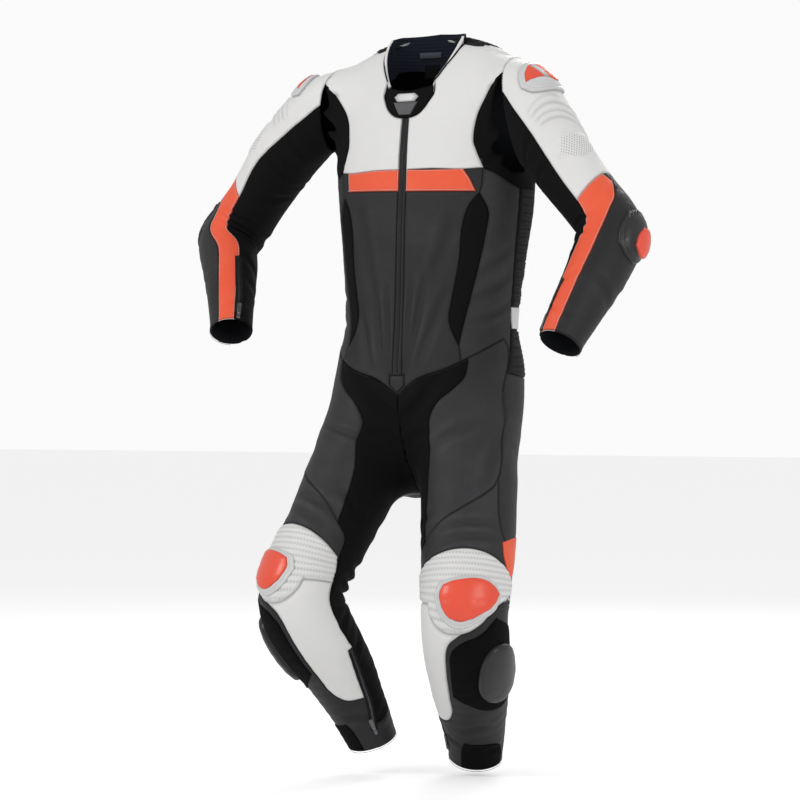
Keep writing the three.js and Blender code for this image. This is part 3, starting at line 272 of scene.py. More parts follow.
class LimbAxis:
    def __init__(self, points, first, turn, outward, soft):
        self.points = smooth_rows(points, 200)
        step = np.linalg.norm(np.diff(self.points, axis=0), axis=1)
        self.lengths = np.concatenate([[0], np.cumsum(step)])
        raw = unit(np.vstack([self.points[1] - self.points[0], self.points[2:] - self.points[:-2],
                              self.points[-1] - self.points[-2]]))
        near = np.exp(-0.5 * ((self.lengths[:, None] - self.lengths[None]) / soft) ** 2)
        along = unit(near @ raw)
        share = np.clip((self.lengths - turn[0]) / (turn[1] - turn[0]), 0, 1)[:, None]
        share = share * share * (3 - 2 * share)
        square = unit(first * (1 - share) + along * share)
        self.out = unit(outward - (square @ outward)[:, None] * square)
        front = np.cross(square, self.out)
        self.front = front * np.where(front[:, 1:2] > 0, -1, 1)

    def rays(self, u, v):
        def read(rows):
            return np.stack([np.interp(v, self.lengths, rows[:, i]) for i in range(3)], 1)
        turn = np.radians(u)[:, None]
        return read(self.points), unit(read(self.out) * np.cos(turn) + read(self.front) * np.sin(turn))


def arm_axis(rows, side):
    square = np.array([side * math.cos(ARMHOLE_TILT), 0, math.sin(ARMHOLE_TILT)])
    start = ARMHOLE * np.array([side, 1, 1])
    return LimbAxis([tuple(start)] + [r[:3] for r in rows[3:]], square, (0, 230),
                    unit(np.array([side, 0, 0.9], float)), 34)


def leg_axis(rows, side, lean):
    level = [(LEG_AXIS_X * side, LEG_AXIS_Y, AXIS_TOP - drop) for drop in (0, 90, 180, 202)]
    return LimbAxis(level + [(x * side, y, z) for x, y, z in lean] + [r[:3] for r in rows[3:]],
                    np.array([0, 0, -1.0]), (175, 420), np.array([side, 0, 0], float), 30)


axis_of = {"sleeve_left": arm_axis(ARM_LEFT, 1), "sleeve_right": arm_axis(ARM_RIGHT, -1),
           "leg_left": leg_axis(LEG_LEFT, 1, [(94, -30, -670), (105, -52, -745)]),
           "leg_right": leg_axis(LEG_RIGHT, -1, [(94, -46, -675), (106, -94, -745)])}
print({name: round(float(a.lengths[-1])) for name, a in axis_of.items()})


# %% Turn rays into a chart
def leave(origin, ray, near, far, parts):
    steps = near + (far - near) / 16 * np.arange(1, 17)
    a = np.full(len(origin), float(far))
    found = np.zeros(len(origin), bool)
    for t in steps:
        fresh = ~found
        outside = form(origin[fresh] + ray[fresh] * t, parts) > 0
        index = np.flatnonzero(fresh)[outside]
        a[index] = t - (far - near) / 16
        found[index] = True
        if found.all():
            break
    b = a + (far - near) / 16
    for _ in range(11):
        half = (a + b) / 2
        outside = form(origin + ray * half[:, None], parts) > 0
        b = np.where(outside, half, b)
        a = np.where(outside, a, half)
    return origin + ray * ((a + b) / 2)[:, None]


class Chart:
    """A net of surface points over u (degrees) and v (millimetres), read smoothly between its knots."""
    def __init__(self, name, rays, parts, u_range, v_range, scale, near, far, bounds=(), step=(5.0, 14.0)):
        self.name, self.parts, self.scale, self.bounds = name, parts, scale, bounds
        self.u0, self.v0, self.du, self.dv = u_range[0], v_range[0], step[0], step[1]
        nu = int(round((u_range[1] - u_range[0]) / self.du)) + 1
        nv = int(math.ceil((v_range[1] - v_range[0]) / self.dv)) + 1
        us = self.u0 + self.du * np.arange(nu)
        vs = self.v0 + self.dv * np.arange(nv)
        grid_u, grid_v = [g.ravel() for g in np.meshgrid(us, vs)]
        origin, ray = rays(grid_u, grid_v)
        points = leave(origin, ray, near, far, parts)
        for normal, offset in bounds:
            past = points @ normal - offset < -3
            reach = (offset - origin[past] @ normal) / (ray[past] @ normal)
            points[past] = origin[past] + ray[past] * reach[:, None]
        self.net = points.reshape(nv, nu, 3)

    def read(self, u, v):
        def weights(place, count):
            i = np.clip(np.floor(place).astype(int), 0, count - 2)
            t = np.clip(place - i, -0.5, 1.5)
            w = np.stack([(-t + 2 * t ** 2 - t ** 3) / 2, (2 - 5 * t ** 2 + 3 * t ** 3) / 2,
                          (t + 4 * t ** 2 - 3 * t ** 3) / 2, (t ** 3 - t ** 2) / 2], 1)
            return np.clip(np.stack([i - 1, i, i + 1, i + 2], 1), 0, count - 1), w
        iu, wu = weights((u - self.u0) / self.du, self.net.shape[1])
        iv, wv = weights((v - self.v0) / self.dv, self.net.shape[0])
        picked = self.net[iv[:, :, None], iu[:, None, :]]
        return np.einsum("nijk,ni,nj->nk", picked, wv, wu)

    def at(self, u, v):
        """Points on the form and the form's outward directions."""
        p = self.read(np.asarray(u, float), np.asarray(v, float))
        n = outwards(p, self.parts)
        for _ in range(2):
            p = p - n * np.clip(form(p, self.parts), -6, 6)[:, None]
        for normal, offset in self.bounds:
            p = p - np.minimum(p @ normal - offset, 0)[:, None] * normal
        return p, n


def armhole_bound(side, facing):
    normal = np.array([side * math.cos(ARMHOLE_TILT), 0, math.sin(ARMHOLE_TILT)]) * facing
    return normal, float(normal @ (ARMHOLE * np.array([side, 1, 1])))


TURN = (-180, 180)
charts = {"trunk": Chart("trunk", trunk_rays, ("arm_left", "arm_right", "legs"), TURN, (-630, 150), 2.6, 20, 420,
                         [armhole_bound(1, -1), armhole_bound(-1, -1)])}
for side, sign in (("left", 1), ("right", -1)):
    charts["sleeve_" + side] = Chart("sleeve_" + side, axis_of["sleeve_" + side].rays, ("arm_" + side,), TURN,
                                     (-14, 600), 1.05, 8, 200, [armhole_bound(sign, 1)])
    charts["leg_" + side] = Chart("leg_" + side, axis_of["leg_" + side].rays, ("legs",), TURN, (10, 925), 1.45,
                                  8, 200, [(np.array([sign, 0, 0], float), 0.0)])
print("nets", {name: chart.net.shape[:2] for name, chart in charts.items()})

# %% [markdown]
# ## From outlines to sewn pieces
# All pieces of a chart are drawn over each other in sewing order, and each later one covers those before
# it. One triangulation then takes in all the seam lines, so that neighbours share their edges exactly. A
# boolean for every piece could do that too, but it is slow and leaves ragged edges.

# %% Smooth an outline and resample it
SEAM_STEP = 3.7


def smooth_outline(outline, scale, step=SEAM_STEP, corner=48, closed=True):
    p = np.array(outline, float) * [scale, 1]
    count = len(p)
    ahead = np.roll(p, -1, 0) - p
    length = np.linalg.norm(ahead, axis=1)
    way = ahead / np.maximum(length, 1e-9)[:, None]
    before = np.roll(way, 1, 0)
    bend = np.degrees(np.arccos(np.clip((way * before).sum(1), -1, 1)))
    tangent = unit(way + before + 1e-12)
    points = []
    for i in range(count if closed else count - 1):
        j = (i + 1) % count
        start = way[i] if bend[i] > corner or (not closed and i == 0) else tangent[i]
        end = way[i] if bend[j] > corner or (not closed and j == count - 1) else tangent[j]
        n = max(1, int(round(length[i] / step)))
        t = (np.arange(n) / n)[:, None]
        points.append((2 * t ** 3 - 3 * t ** 2 + 1) * p[i] + (t ** 3 - 2 * t ** 2 + t) * length[i] * start
                      + (3 * t ** 2 - 2 * t ** 3) * p[j] + (t ** 3 - t ** 2) * length[i] * end)
    if not closed:
        points.append(p[-1:])
    return np.vstack(points)


def inside(points, outline):
    result = np.zeros(len(points), bool)
    low, high = outline.min(0), outline.max(0)
    near = np.flatnonzero(((points >= low) & (points <= high)).all(1))
    if not len(near):
        return result
    x, y = points[near, 0][:, None], points[near, 1][:, None]
    a, b = outline, np.roll(outline, -1, 0)
    spans = (a[:, 1] > y) != (b[:, 1] > y)
    drop = np.where(np.abs(b[:, 1] - a[:, 1]) < 1e-12, 1e-12, b[:, 1] - a[:, 1])
    crosses = spans & (x < a[:, 0] + (y - a[:, 1]) * (b[:, 0] - a[:, 0]) / drop)
    result[near] = crosses.sum(1) % 2 == 1
    return result


# %% Triangulate one chart and say which piece each triangle belongs to
def triangulate(points, edges):
    made = delaunay_2d_cdt([Vector(p) for p in points], [tuple(map(int, e)) for e in edges], [], 0, 1e-3, False)
    return np.array([tuple(v) for v in made[0]]), np.array(made[2])


def edge_table(triangles):
    edges = np.sort(np.concatenate([triangles[:, [0, 1]], triangles[:, [1, 2]], triangles[:, [2, 0]]]), axis=1)
    owner = np.tile(np.arange(len(triangles)), 3)
    order = np.lexsort((edges[:, 1], edges[:, 0]))
    edges, owner = edges[order], owner[order]
    same = (edges[1:] == edges[:-1]).all(1)
    first = np.flatnonzero(same)
    return edges[first], owner[first], owner[first + 1]


def sort_out(points, triangles, layers, domain):
    """Piece number of each triangle: the last layer over it, or -1 outside the chart."""
    middle_of = points[triangles].mean(1)
    piece = np.full(len(triangles), -2)
    for number, outlines in layers:
        for outline in outlines:
            piece[inside(middle_of, outline)] = number
    x, y = middle_of[:, 0], middle_of[:, 1]
    outside = (x < domain[0]) | (x > domain[1]) | (y < domain[2]) | (y > domain[3])
    piece[outside] = -1
    edges, a, b = edge_table(triangles)
    for _ in range(40):
        lost = (piece[a] == -2) & (piece[b] != -2) & (piece[b] > -1)
        found = (piece[b] == -2) & (piece[a] != -2) & (piece[a] > -1)
        if not lost.any() and not found.any():
            break
        piece[a[lost]] = piece[b[lost]]
        piece[b[found]] = piece[a[found]]
    piece[piece == -2] = -1
    return piece, edges, a, b


def nearest(samples, points):
    tree = KDTree(len(samples))
    for i, s in enumerate(samples):
        tree.insert((s[0], s[1], 0.0), i)
    tree.balance()
    found = [tree.find((p[0], p[1], 0.0)) for p in points]
    return np.array([f[2] for f in found]), np.array([f[1] for f in found])


# %% Lay out all pieces of one chart
GRID = 4.6


def lay_out(chart, specs, holes, v_range):
    scale = chart.scale
    half = 180 * scale
    domain = (-half, half, v_range[0], v_range[1])
    layers = []
    for number, spec in [*enumerate(specs), *((-10 - i, hole) for i, hole in enumerate(holes))]:
        outline = smooth_outline(spec["outline"], scale, corner=spec.get("corner", 48))
        moved = [outline + [turn * 2 * half, 0] for turn in (-1, 0, 1)]
        layers.append((number, [m for m in moved if m[:, 0].max() > -half and m[:, 0].min() < half]))
    rows = np.arange(v_range[0], v_range[1] + 1e-6, GRID)
    sides = [np.stack([np.full(len(rows), x), rows], 1) for x in (-half, half)]
    side_edges = [np.stack([np.arange(len(rows) - 1), np.arange(1, len(rows))], 1) + i * len(rows) for i in (0, 1)]
    points, edges, start = list(sides), list(side_edges), 2 * len(rows)
    for _, outlines in layers:
        for outline in outlines:
            n = len(outline)
            points.append(outline)
            edges.append(np.stack([np.arange(n), (np.arange(n) + 1) % n], 1) + start)
            start += n
    flat, triangles = triangulate(np.vstack(points), np.vstack(edges))
    piece, edges, a, b = sort_out(flat, triangles, layers, domain)
    on_side = np.abs(np.abs(flat[edges].mean(1)[:, 0]) - half) < 0.02
    seam = (piece[a] != piece[b]) & ~on_side & ((piece[a] > -1) | (piece[b] > -1))
    seam_edges, seam_a, seam_b = edges[seam], piece[a[seam]], piece[b[seam]]
    # second round: only the seams that show, rows of points beside them, and a net inside each piece
    used, seam_index = np.unique(seam_edges, return_inverse=True)
    seam_points = flat[used]
    seam_index = seam_index.reshape(-1, 2)
    p, q = seam_points[seam_index[:, 0]], seam_points[seam_index[:, 1]]
    across = unit(q - p)[:, [1, 0]] * [1, -1]
    middles = (p + q) / 2
    samples = np.vstack([seam_points, middles, p * 0.75 + q * 0.25, p * 0.25 + q * 0.75])
    beside = [middles + across * d for d in (-3.4, -1.4, 1.4, 3.4)]
    keep = []
    for d, row in zip((3.4, 1.4, 1.4, 3.4), beside):
        keep.append(row[nearest(samples, row)[0] > 0.8 * d])
    net = []
    for number, outlines in layers:
        if number < 0:
            continue
        dx, dy = specs[number].get("grid", (GRID, GRID))
        xs = np.arange(-half + dx, half - dx / 2, dx)
        if "ribs" in specs[number]:
            dy = specs[number]["ribs"][0] / 5
            ys = np.arange(math.floor(v_range[0] / dy) - 60, v_range[1] / dy + 60) * dy
        else:
            ys = np.arange(v_range[0] + dy / 2, v_range[1], dy)
        cloud = np.stack([g.ravel() for g in np.meshgrid(xs, ys)], 1)
        cloud[:, 0] += np.where(np.round(cloud[:, 1] / dy).astype(int) % 2 == 0, 0, dx * 0.25)
        if "ribs" in specs[number]:
            cloud[:, 1] -= specs[number]["ribs"][2](cloud[:, 0] / scale, 0 * cloud[:, 0])
            cloud = cloud[(cloud[:, 1] > v_range[0] + 1) & (cloud[:, 1] < v_range[1] - 1)]
        own = np.full(len(cloud), -2)
        for other, shapes in layers:
            if other >= number or other < 0:
                for shape in shapes:
                    own[inside(cloud, shape)] = other
        cloud = cloud[own == number]
        if len(cloud):
            net.append(cloud[nearest(samples, cloud)[0] > 0.55 * min(dx, dy) + 3.0])
    points = np.vstack([*sides, seam_points, *keep, *net])
    edges = np.vstack([*side_edges, seam_index + 2 * len(rows)])
    flat, triangles = triangulate(points, edges)
    piece, *_ = sort_out(flat, triangles, layers, domain)
    reach, which = nearest(np.vstack([seam_points, middles]), flat)
    hem = {-10 - i for i, hole in enumerate(holes) if hole.get("hem")}
    at_hem = np.isin(seam_a, list(hem)) | np.isin(seam_b, list(hem))
    hem_point = np.zeros(len(seam_points), bool)
    hem_point[seam_index[at_hem].ravel()] = True
    near_hem = np.concatenate([hem_point, at_hem])[which]
    seams = {"p": p, "q": q, "a": seam_a, "b": seam_b}
    return {"chart": chart, "specs": specs, "flat": flat, "triangles": triangles, "piece": piece,
            "reach": reach, "near_hem": near_hem, "seams": seams}


# %% [markdown]
# ## Giving a flat piece its body
# Leather on a suit is about 1.3 mm thick with a fixed lining. Where two pieces meet, the edge turns down
# into the seam and the leather swells a little beside it. The same numbers that shape this are stored on
# the mesh, so that the materials can paint shade into a seam, and a rubbed tone with a painted highlight onto a ridge.
# The inner face is a second layer.

# %% Build a sewn piece
SUIT = "suit"
made_pieces = {}


def swell(reach, depth=1.3, width=1.7, puff=0.55):
    valley = -depth * np.exp(-(reach / width) ** 2)
    return valley + puff * np.exp(-((reach - 4.6) / 2.4) ** 2)


def new_object(name, points, faces, materials, smooth=True, material_of=None, attributes=(), uv=None):
    mesh = bpy.data.meshes.new(name)
    faces = np.asarray(faces)
    mesh.vertices.add(len(points))
    mesh.vertices.foreach_set("co", np.asarray(points, np.float32).ravel() / 1000)
    size = faces.shape[1]
    mesh.loops.add(faces.size)
    mesh.loops.foreach_set("vertex_index", faces.ravel().astype(np.int32))
    mesh.polygons.add(len(faces))
    mesh.polygons.foreach_set("loop_start", np.arange(0, faces.size, size, dtype=np.int32))
    mesh.polygons.foreach_set("use_smooth", np.full(len(faces), smooth))
    for material in materials:
        mesh.materials.append(material)
    if material_of is not None:
        mesh.polygons.foreach_set("material_index", material_of.astype(np.int32))
    if uv is not None:
        layer = mesh.uv_layers.new(name="pattern")
        layer.data.foreach_set("uv", (np.asarray(uv, np.float32) / 1000).ravel())
    for key, values in attributes:
        made = mesh.attributes.new(key, "FLOAT", "POINT")
        made.data.foreach_set("value", np.asarray(values, np.float32))
    mesh.update(calc_edges=True)
    mesh.validate()
    made = bpy.data.objects.new(name, mesh)
    bpy.context.scene.collection.objects.link(made)
    return made


def face_area(points, faces):
    a, b, c = points[faces[:, 0]], points[faces[:, 1]], points[faces[:, 2]]
    return np.linalg.norm(np.cross(b - a, c - a), axis=1).sum() / 2


def sew(layout, number, shape, materials):
    """shape(u, v, reach) gives the height of the outer face over the form, and the marks for the material."""
    chart, spec = layout["chart"], layout["specs"][number]
    corners = layout["triangles"][layout["piece"] == number]
    half = 180 * chart.scale
    flat = layout["flat"]
    key = np.round(np.where(np.abs(flat[:, [0]] - half) < 1e-2, [[-half, 0]], 0) * [1, 0]
                   + np.where(np.abs(flat[:, [0]] - half) < 1e-2, flat * [0, 1], flat), 2)
    _, first, joined = np.unique(key, axis=0, return_index=True, return_inverse=True)
    joined = joined.ravel()
    faces = first[joined[corners]]
    used, faces = np.unique(faces, return_inverse=True)
    faces = faces.reshape(-1, 3)
    faces = faces[(faces[:, 0] != faces[:, 1]) & (faces[:, 1] != faces[:, 2]) & (faces[:, 2] != faces[:, 0])]
    u, v = flat[used, 0] / chart.scale, flat[used, 1]
    base, normal = chart.at(u, v)
    height, fold, marks = shape(u, v, layout["reach"][used], layout["near_hem"][used], spec)
    outer = base + normal * (height + fold)[:, None]
    inner = base + normal * (fold - 2.3)[:, None]
    a, b, c = outer[faces[:, 0]], outer[faces[:, 1]], outer[faces[:, 2]]
    if (np.cross(b - a, c - a) * normal[faces[:, 0]]).sum() < 0:
        faces = faces[:, ::-1]
    count = len(used)
    directed = np.concatenate([faces[:, [0, 1]], faces[:, [1, 2]], faces[:, [2, 0]]])
    undirected = np.sort(directed, axis=1)
    _, index, uses = np.unique(undirected, axis=0, return_index=True, return_counts=True)
    rim = directed[index[uses == 1]]
    walls = np.concatenate([np.stack([rim[:, 1], rim[:, 0], rim[:, 0] + count], 1),
                            np.stack([rim[:, 1], rim[:, 0] + count, rim[:, 1] + count], 1)])
    every = np.concatenate([faces, faces[:, ::-1] + count, walls])
    slot_of = np.concatenate([np.zeros(len(faces)), np.ones(len(faces)), np.zeros(len(walls))])
    places = np.stack([u * chart.scale, v], 1)
    uv = np.vstack([places, places])[every.ravel()]
    made = new_object(spec["name"] + "_skin", np.vstack([outer, inner]), every, materials, True, slot_of,
                      [(name, np.concatenate([m, m])) for name, m in marks.items()], uv)
    area = face_area(outer, faces) / 1e6
    box = np.ptp(places, axis=0)
    share = min(1.0, max(0.32, abs(face_area(np.column_stack([places, 0 * u]), faces)) / (box[0] * box[1])))
    grow_by = math.sqrt(area * 1e6 / share / (box[0] * box[1]))
    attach(made, SUIT)
    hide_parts(spec["name"])
    made_pieces[spec["name"]] = {"flat": box * grow_by, "area": area, "object": made}
    return made


# %% [markdown]
# ## Effects that several finishes share
# Leather grain, woven stretch cloth, and painted shade in seams with a rubbed tone and painted highlight on ridges turn
# up in many finishes, so each is a node group with its own inputs. They give heights and masks only. The shaders stay
# in the materials.

# %% A small helper for node trees
def group(name, inputs, outputs):
    tree = bpy.data.node_groups.new(name, "ShaderNodeTree")
    for label, kind, value in inputs:
        socket = tree.interface.new_socket(name=label, in_out="INPUT", socket_type=kind)
        socket.default_value = value
    for label, kind in outputs:
        tree.interface.new_socket(name=label, in_out="OUTPUT", socket_type=kind)
    return tree, tree.nodes.new("NodeGroupInput"), tree.nodes.new("NodeGroupOutput")


def node(tree, kind, values=(), **settings):
    made = tree.nodes.new(kind)
    for key, value in settings.items():
        setattr(made, key, value)
    for socket, value in dict(values).items():
        if isinstance(value, bpy.types.NodeSocket):
            tree.links.new(value, made.inputs[socket])
        else:
            made.inputs[socket].default_value = value
    return made


def maths(tree, operation, a, b=0.0, c=0.0):
    return node(tree, "ShaderNodeMath", {0: a, 1: b, 2: c}, operation=operation).outputs[0]


def colour_mix(tree, factor, a, b):
    made = node(tree, "ShaderNodeMix", {0: factor, 6: a, 7: b}, data_type="RGBA")
    return made.outputs[2]


# %% Leather grain
grain, grain_in, grain_out = group("leather_grain", [("Scale", "NodeSocketFloat", 900.0),
                                                     ("Wander", "NodeSocketFloat", 0.5)],
                                   [("Height", "NodeSocketFloat"), ("Pores", "NodeSocketFloat"),
                                    ("Patches", "NodeSocketFloat")])
where = node(grain, "ShaderNodeTexCoord").outputs["Object"]
cells = node(grain, "ShaderNodeTexVoronoi", {"Vector": where, "Scale": grain_in.outputs["Scale"],
                                             "Randomness": 0.9}, feature="DISTANCE_TO_EDGE")
plates = node(grain, "ShaderNodeMapRange", {0: cells.outputs["Distance"], 1: 0.0, 2: 0.22}).outputs[0]
coarse = node(grain, "ShaderNodeTexNoise", {"Vector": where, "Scale": 160.0, "Detail": 3.0}).outputs[0]
large = node(grain, "ShaderNodeTexNoise", {"Vector": where, "Scale": 14.0, "Detail": 4.0}).outputs[0]
soft = maths(grain, "MULTIPLY", coarse, grain_in.outputs["Wander"])
grain.links.new(maths(grain, "ADD", plates, soft), grain_out.inputs["Height"])
grain.links.new(maths(grain, "SUBTRACT", 1.0, plates), grain_out.inputs["Pores"])
grain.links.new(node(grain, "ShaderNodeMapRange", {0: large, 1: 0.35, 2: 0.65}).outputs[0],
                grain_out.inputs["Patches"])

# %% Woven stretch cloth
weave, weave_in, weave_out = group("stretch_weave", [("Threads per metre", "NodeSocketFloat", 900.0)],
                                   [("Height", "NodeSocketFloat"), ("Thread", "NodeSocketFloat")])
flat_place = node(weave, "ShaderNodeUVMap", uv_map="pattern").outputs[0]
split = node(weave, "ShaderNodeSeparateXYZ", {0: flat_place})
warp = maths(weave, "MULTIPLY", split.outputs[0], weave_in.outputs[0])
weft = maths(weave, "MULTIPLY", split.outputs[1], weave_in.outputs[0])
warp_wave = maths(weave, "SINE", maths(weave, "MULTIPLY", warp, 6.2832))
weft_wave = maths(weave, "SINE", maths(weave, "MULTIPLY", weft, 6.2832))
twill = maths(weave, "SINE", maths(weave, "MULTIPLY", maths(weave, "ADD", warp, weft), 3.1416))
knots = maths(weave, "ADD", maths(weave, "MULTIPLY", warp_wave, weft_wave), twill)
weave.links.new(knots, weave_out.inputs["Height"])
weave.links.new(node(weave, "ShaderNodeMapRange", {0: knots, 1: -2.0, 2: 2.0}).outputs[0],
                weave_out.inputs["Thread"])

# %% Painted shade in seams, and a rubbed tone with painted highlight on ridges
shade_rub_highlight, shade_rub_highlight_in, shade_rub_highlight_out = group("seam_shade_and_rub_highlight", [("Colour", "NodeSocketColor", (0.5, 0.5, 0.5, 1)),
                                              ("Seam shade colour", "NodeSocketColor", (0.1, 0.1, 0.1, 1)),
                                              ("Rub and highlight colour", "NodeSocketColor", (0.8, 0.8, 0.8, 1)),
                                              ("Seam shade amount", "NodeSocketFloat", 0.6),
                                              ("Rub and highlight amount", "NodeSocketFloat", 0.3)],
                             [("Colour", "NodeSocketColor"), ("Rub and highlight", "NodeSocketFloat")])
# The seam mark is high in seam valleys, between tucks, in quilting lines and at the feet of raised pieces; mixing the
# dark seam colour in there is painted shade.
seam_shade_mark = node(shade_rub_highlight, "ShaderNodeAttribute", attribute_name="seam").outputs["Fac"]
ridge_mark = node(shade_rub_highlight, "ShaderNodeAttribute", attribute_name="ridge").outputs["Fac"]
speck = node(shade_rub_highlight, "ShaderNodeTexNoise", {"Vector": node(shade_rub_highlight, "ShaderNodeTexCoord").outputs["Object"],
                                         "Scale": 60.0, "Detail": 5.0}).outputs[0]
# The ridge mark is high on raised folds, seam puffs and the tops of raised pieces. Times the noise, it mixes in the
# lighter rub colour. That is partly a rubbed tone that wanders at random and partly a painted highlight on the ridges.
rub_and_highlight = maths(shade_rub_highlight, "MULTIPLY", maths(shade_rub_highlight, "MULTIPLY", ridge_mark, speck), shade_rub_highlight_in.outputs["Rub and highlight amount"])
seam_shade = maths(shade_rub_highlight, "MULTIPLY", seam_shade_mark, shade_rub_highlight_in.outputs["Seam shade amount"])
with_rub_and_highlight = colour_mix(shade_rub_highlight, rub_and_highlight, shade_rub_highlight_in.outputs["Colour"], shade_rub_highlight_in.outputs["Rub and highlight colour"])
shade_rub_highlight.links.new(colour_mix(shade_rub_highlight, seam_shade, with_rub_and_highlight, shade_rub_highlight_in.outputs["Seam shade colour"]), shade_rub_highlight_out.inputs["Colour"])
shade_rub_highlight.links.new(rub_and_highlight, shade_rub_highlight_out.inputs["Rub and highlight"])
print("groups", [g.name for g in bpy.data.node_groups])

# %% Rows of punched air holes
air_holes, holes_in, holes_out = group("air_holes", [], [("Hole", "NodeSocketFloat")])
flat_place = node(air_holes, "ShaderNodeUVMap", uv_map="pattern").outputs[0]
flat_split = node(air_holes, "ShaderNodeSeparateXYZ", {0: flat_place})
HOLE_PITCH = 0.0062
slants = []
for sign in ("ADD", "SUBTRACT"):
    slant = maths(air_holes, sign, flat_split.outputs[0], flat_split.outputs[1])
    part_way = maths(air_holes, "FRACT", maths(air_holes, "MULTIPLY", slant, 1 / HOLE_PITCH))
    slants.append(maths(air_holes, "SUBTRACT", part_way, 0.5))
squares = maths(air_holes, "MULTIPLY_ADD", slants[0], slants[0], maths(air_holes, "MULTIPLY", slants[1], slants[1]))
near_hole = maths(air_holes, "LESS_THAN", squares, 0.045)
pad_mark = node(air_holes, "ShaderNodeAttribute", attribute_name="pad").outputs["Fac"]
air_holes.links.new(maths(air_holes, "MULTIPLY", near_hole, pad_mark), holes_out.inputs["Hole"])
print("air holes", len(air_holes.nodes), "nodes")

# %% [markdown]
# ## Finishes
# The suit is made of semi-matt cowhide in white, fluorescent orange and black, a softer dark grey leather
# at the thighs and sides, a dull black stretch cloth, and moulded plastic. Each finish is one Principled
# shader. Its colour, roughness and bump come from the groups.


# %% Leathers
def use(tree, made_group, values=()):
    made = node(tree, "ShaderNodeGroup", node_tree=made_group)
    for socket, value in dict(values).items():
        if isinstance(value, bpy.types.NodeSocket):
            tree.links.new(value, made.inputs[socket])
        else:
            made.inputs[socket].default_value = value
    return made


def new_material(name):
    material = bpy.data.materials.new(name)
    material.use_nodes = True
    tree = material.node_tree
    return material, tree, tree.nodes["Principled BSDF"]


def leather(name, colour, deep, rub_and_highlight_colour, roughness, cells_per_metre=900.0, bump=0.25, sheen=0.0, seam=0.55,
            punched=False):
    material, tree, shader = new_material(name)
    skin = use(tree, grain, {"Scale": cells_per_metre, "Wander": 0.7})
    tone = colour_mix(tree, maths(tree, "MULTIPLY", skin.outputs["Patches"], 0.35), (*colour, 1), (*deep, 1))
    tone = colour_mix(tree, maths(tree, "MULTIPLY", skin.outputs["Pores"], 0.3), tone, (*deep, 1))
    # The group paints shade into the seams (seam sets how much). It also mixes in the rubbed colour, which is partly a
    # rubbed tone that wanders at random and partly a painted highlight on the ridges.
    tone_with_shade_and_highlight = use(tree, shade_rub_highlight, {"Colour": tone, "Seam shade colour": (*[c * 0.35 for c in deep], 1),
                                "Rub and highlight colour": (*rub_and_highlight_colour, 1), "Seam shade amount": seam, "Rub and highlight amount": 0.5})
    final = tone_with_shade_and_highlight.outputs["Colour"]
    if punched:
        final = colour_mix(tree, use(tree, air_holes).outputs["Hole"], final, (*[c * 0.3 for c in deep], 1))
    tree.links.new(final, shader.inputs["Base Color"])
    rough = maths(tree, "MULTIPLY_ADD", skin.outputs["Pores"], 0.12, roughness)
    rough = maths(tree, "SUBTRACT", rough, maths(tree, "MULTIPLY", tone_with_shade_and_highlight.outputs["Rub and highlight"], 0.15))
    tree.links.new(rough, shader.inputs["Roughness"])
    bumped = node(tree, "ShaderNodeBump", {"Strength": bump, "Distance": 0.0005, "Height": skin.outputs["Height"]})
    tree.links.new(bumped.outputs[0], shader.inputs["Normal"])
    shader.inputs["Sheen Weight"].default_value = sheen
    shader.inputs["Specular IOR Level"].default_value = 0.28
    return material


white_leather = leather("white_leather", (0.88, 0.875, 0.865), (0.82, 0.815, 0.80), (0.92, 0.92, 0.91), 0.40, seam=0.5)
orange_leather = leather("orange_leather", (1.0, 0.13, 0.055), (0.92, 0.10, 0.04), (1.0, 0.24, 0.13), 0.42)
black_leather = leather("black_leather", (0.021, 0.021, 0.023), (0.014, 0.014, 0.015), (0.06, 0.06, 0.064), 0.44)
punched_leather = leather("punched_leather", (0.88, 0.875, 0.865), (0.82, 0.815, 0.80), (0.92, 0.92, 0.91), 0.40,
                          seam=0.5, punched=True)
grey_leather = leather("grey_leather", (0.034, 0.034, 0.036), (0.022, 0.022, 0.024), (0.085, 0.085, 0.09), 0.5, 700.0)
print("leathers", [m.name for m in bpy.data.materials])


# %% Cloths
def cloth(name, colour, thread, roughness, threads=900.0, bump=0.3, sheen=0.015):
    material, tree, shader = new_material(name)
    woven = use(tree, weave, {"Threads per metre": threads})
    tone = colour_mix(tree, maths(tree, "MULTIPLY", woven.outputs["Thread"], 0.6), (*colour, 1), (*thread, 1))
    # Painted shade in the seams. On the ridges, the thread colour gives a rubbed tone with a painted highlight.
    marked = use(tree, shade_rub_highlight, {"Colour": tone, "Seam shade colour": (*[c * 0.3 for c in colour], 1),
                             "Rub and highlight colour": (*thread, 1), "Seam shade amount": 0.5, "Rub and highlight amount": 0.5})
    tree.links.new(marked.outputs["Colour"], shader.inputs["Base Color"])
    bumped = node(tree, "ShaderNodeBump", {"Strength": bump, "Distance": 0.0003, "Height": woven.outputs["Height"]})
    tree.links.new(bumped.outputs[0], shader.inputs["Normal"])
    shader.inputs["Roughness"].default_value = roughness
    shader.inputs["Sheen Weight"].default_value = sheen
    shader.inputs["Sheen Roughness"].default_value = 0.4
    shader.inputs["Specular IOR Level"].default_value = 0.12
    return material


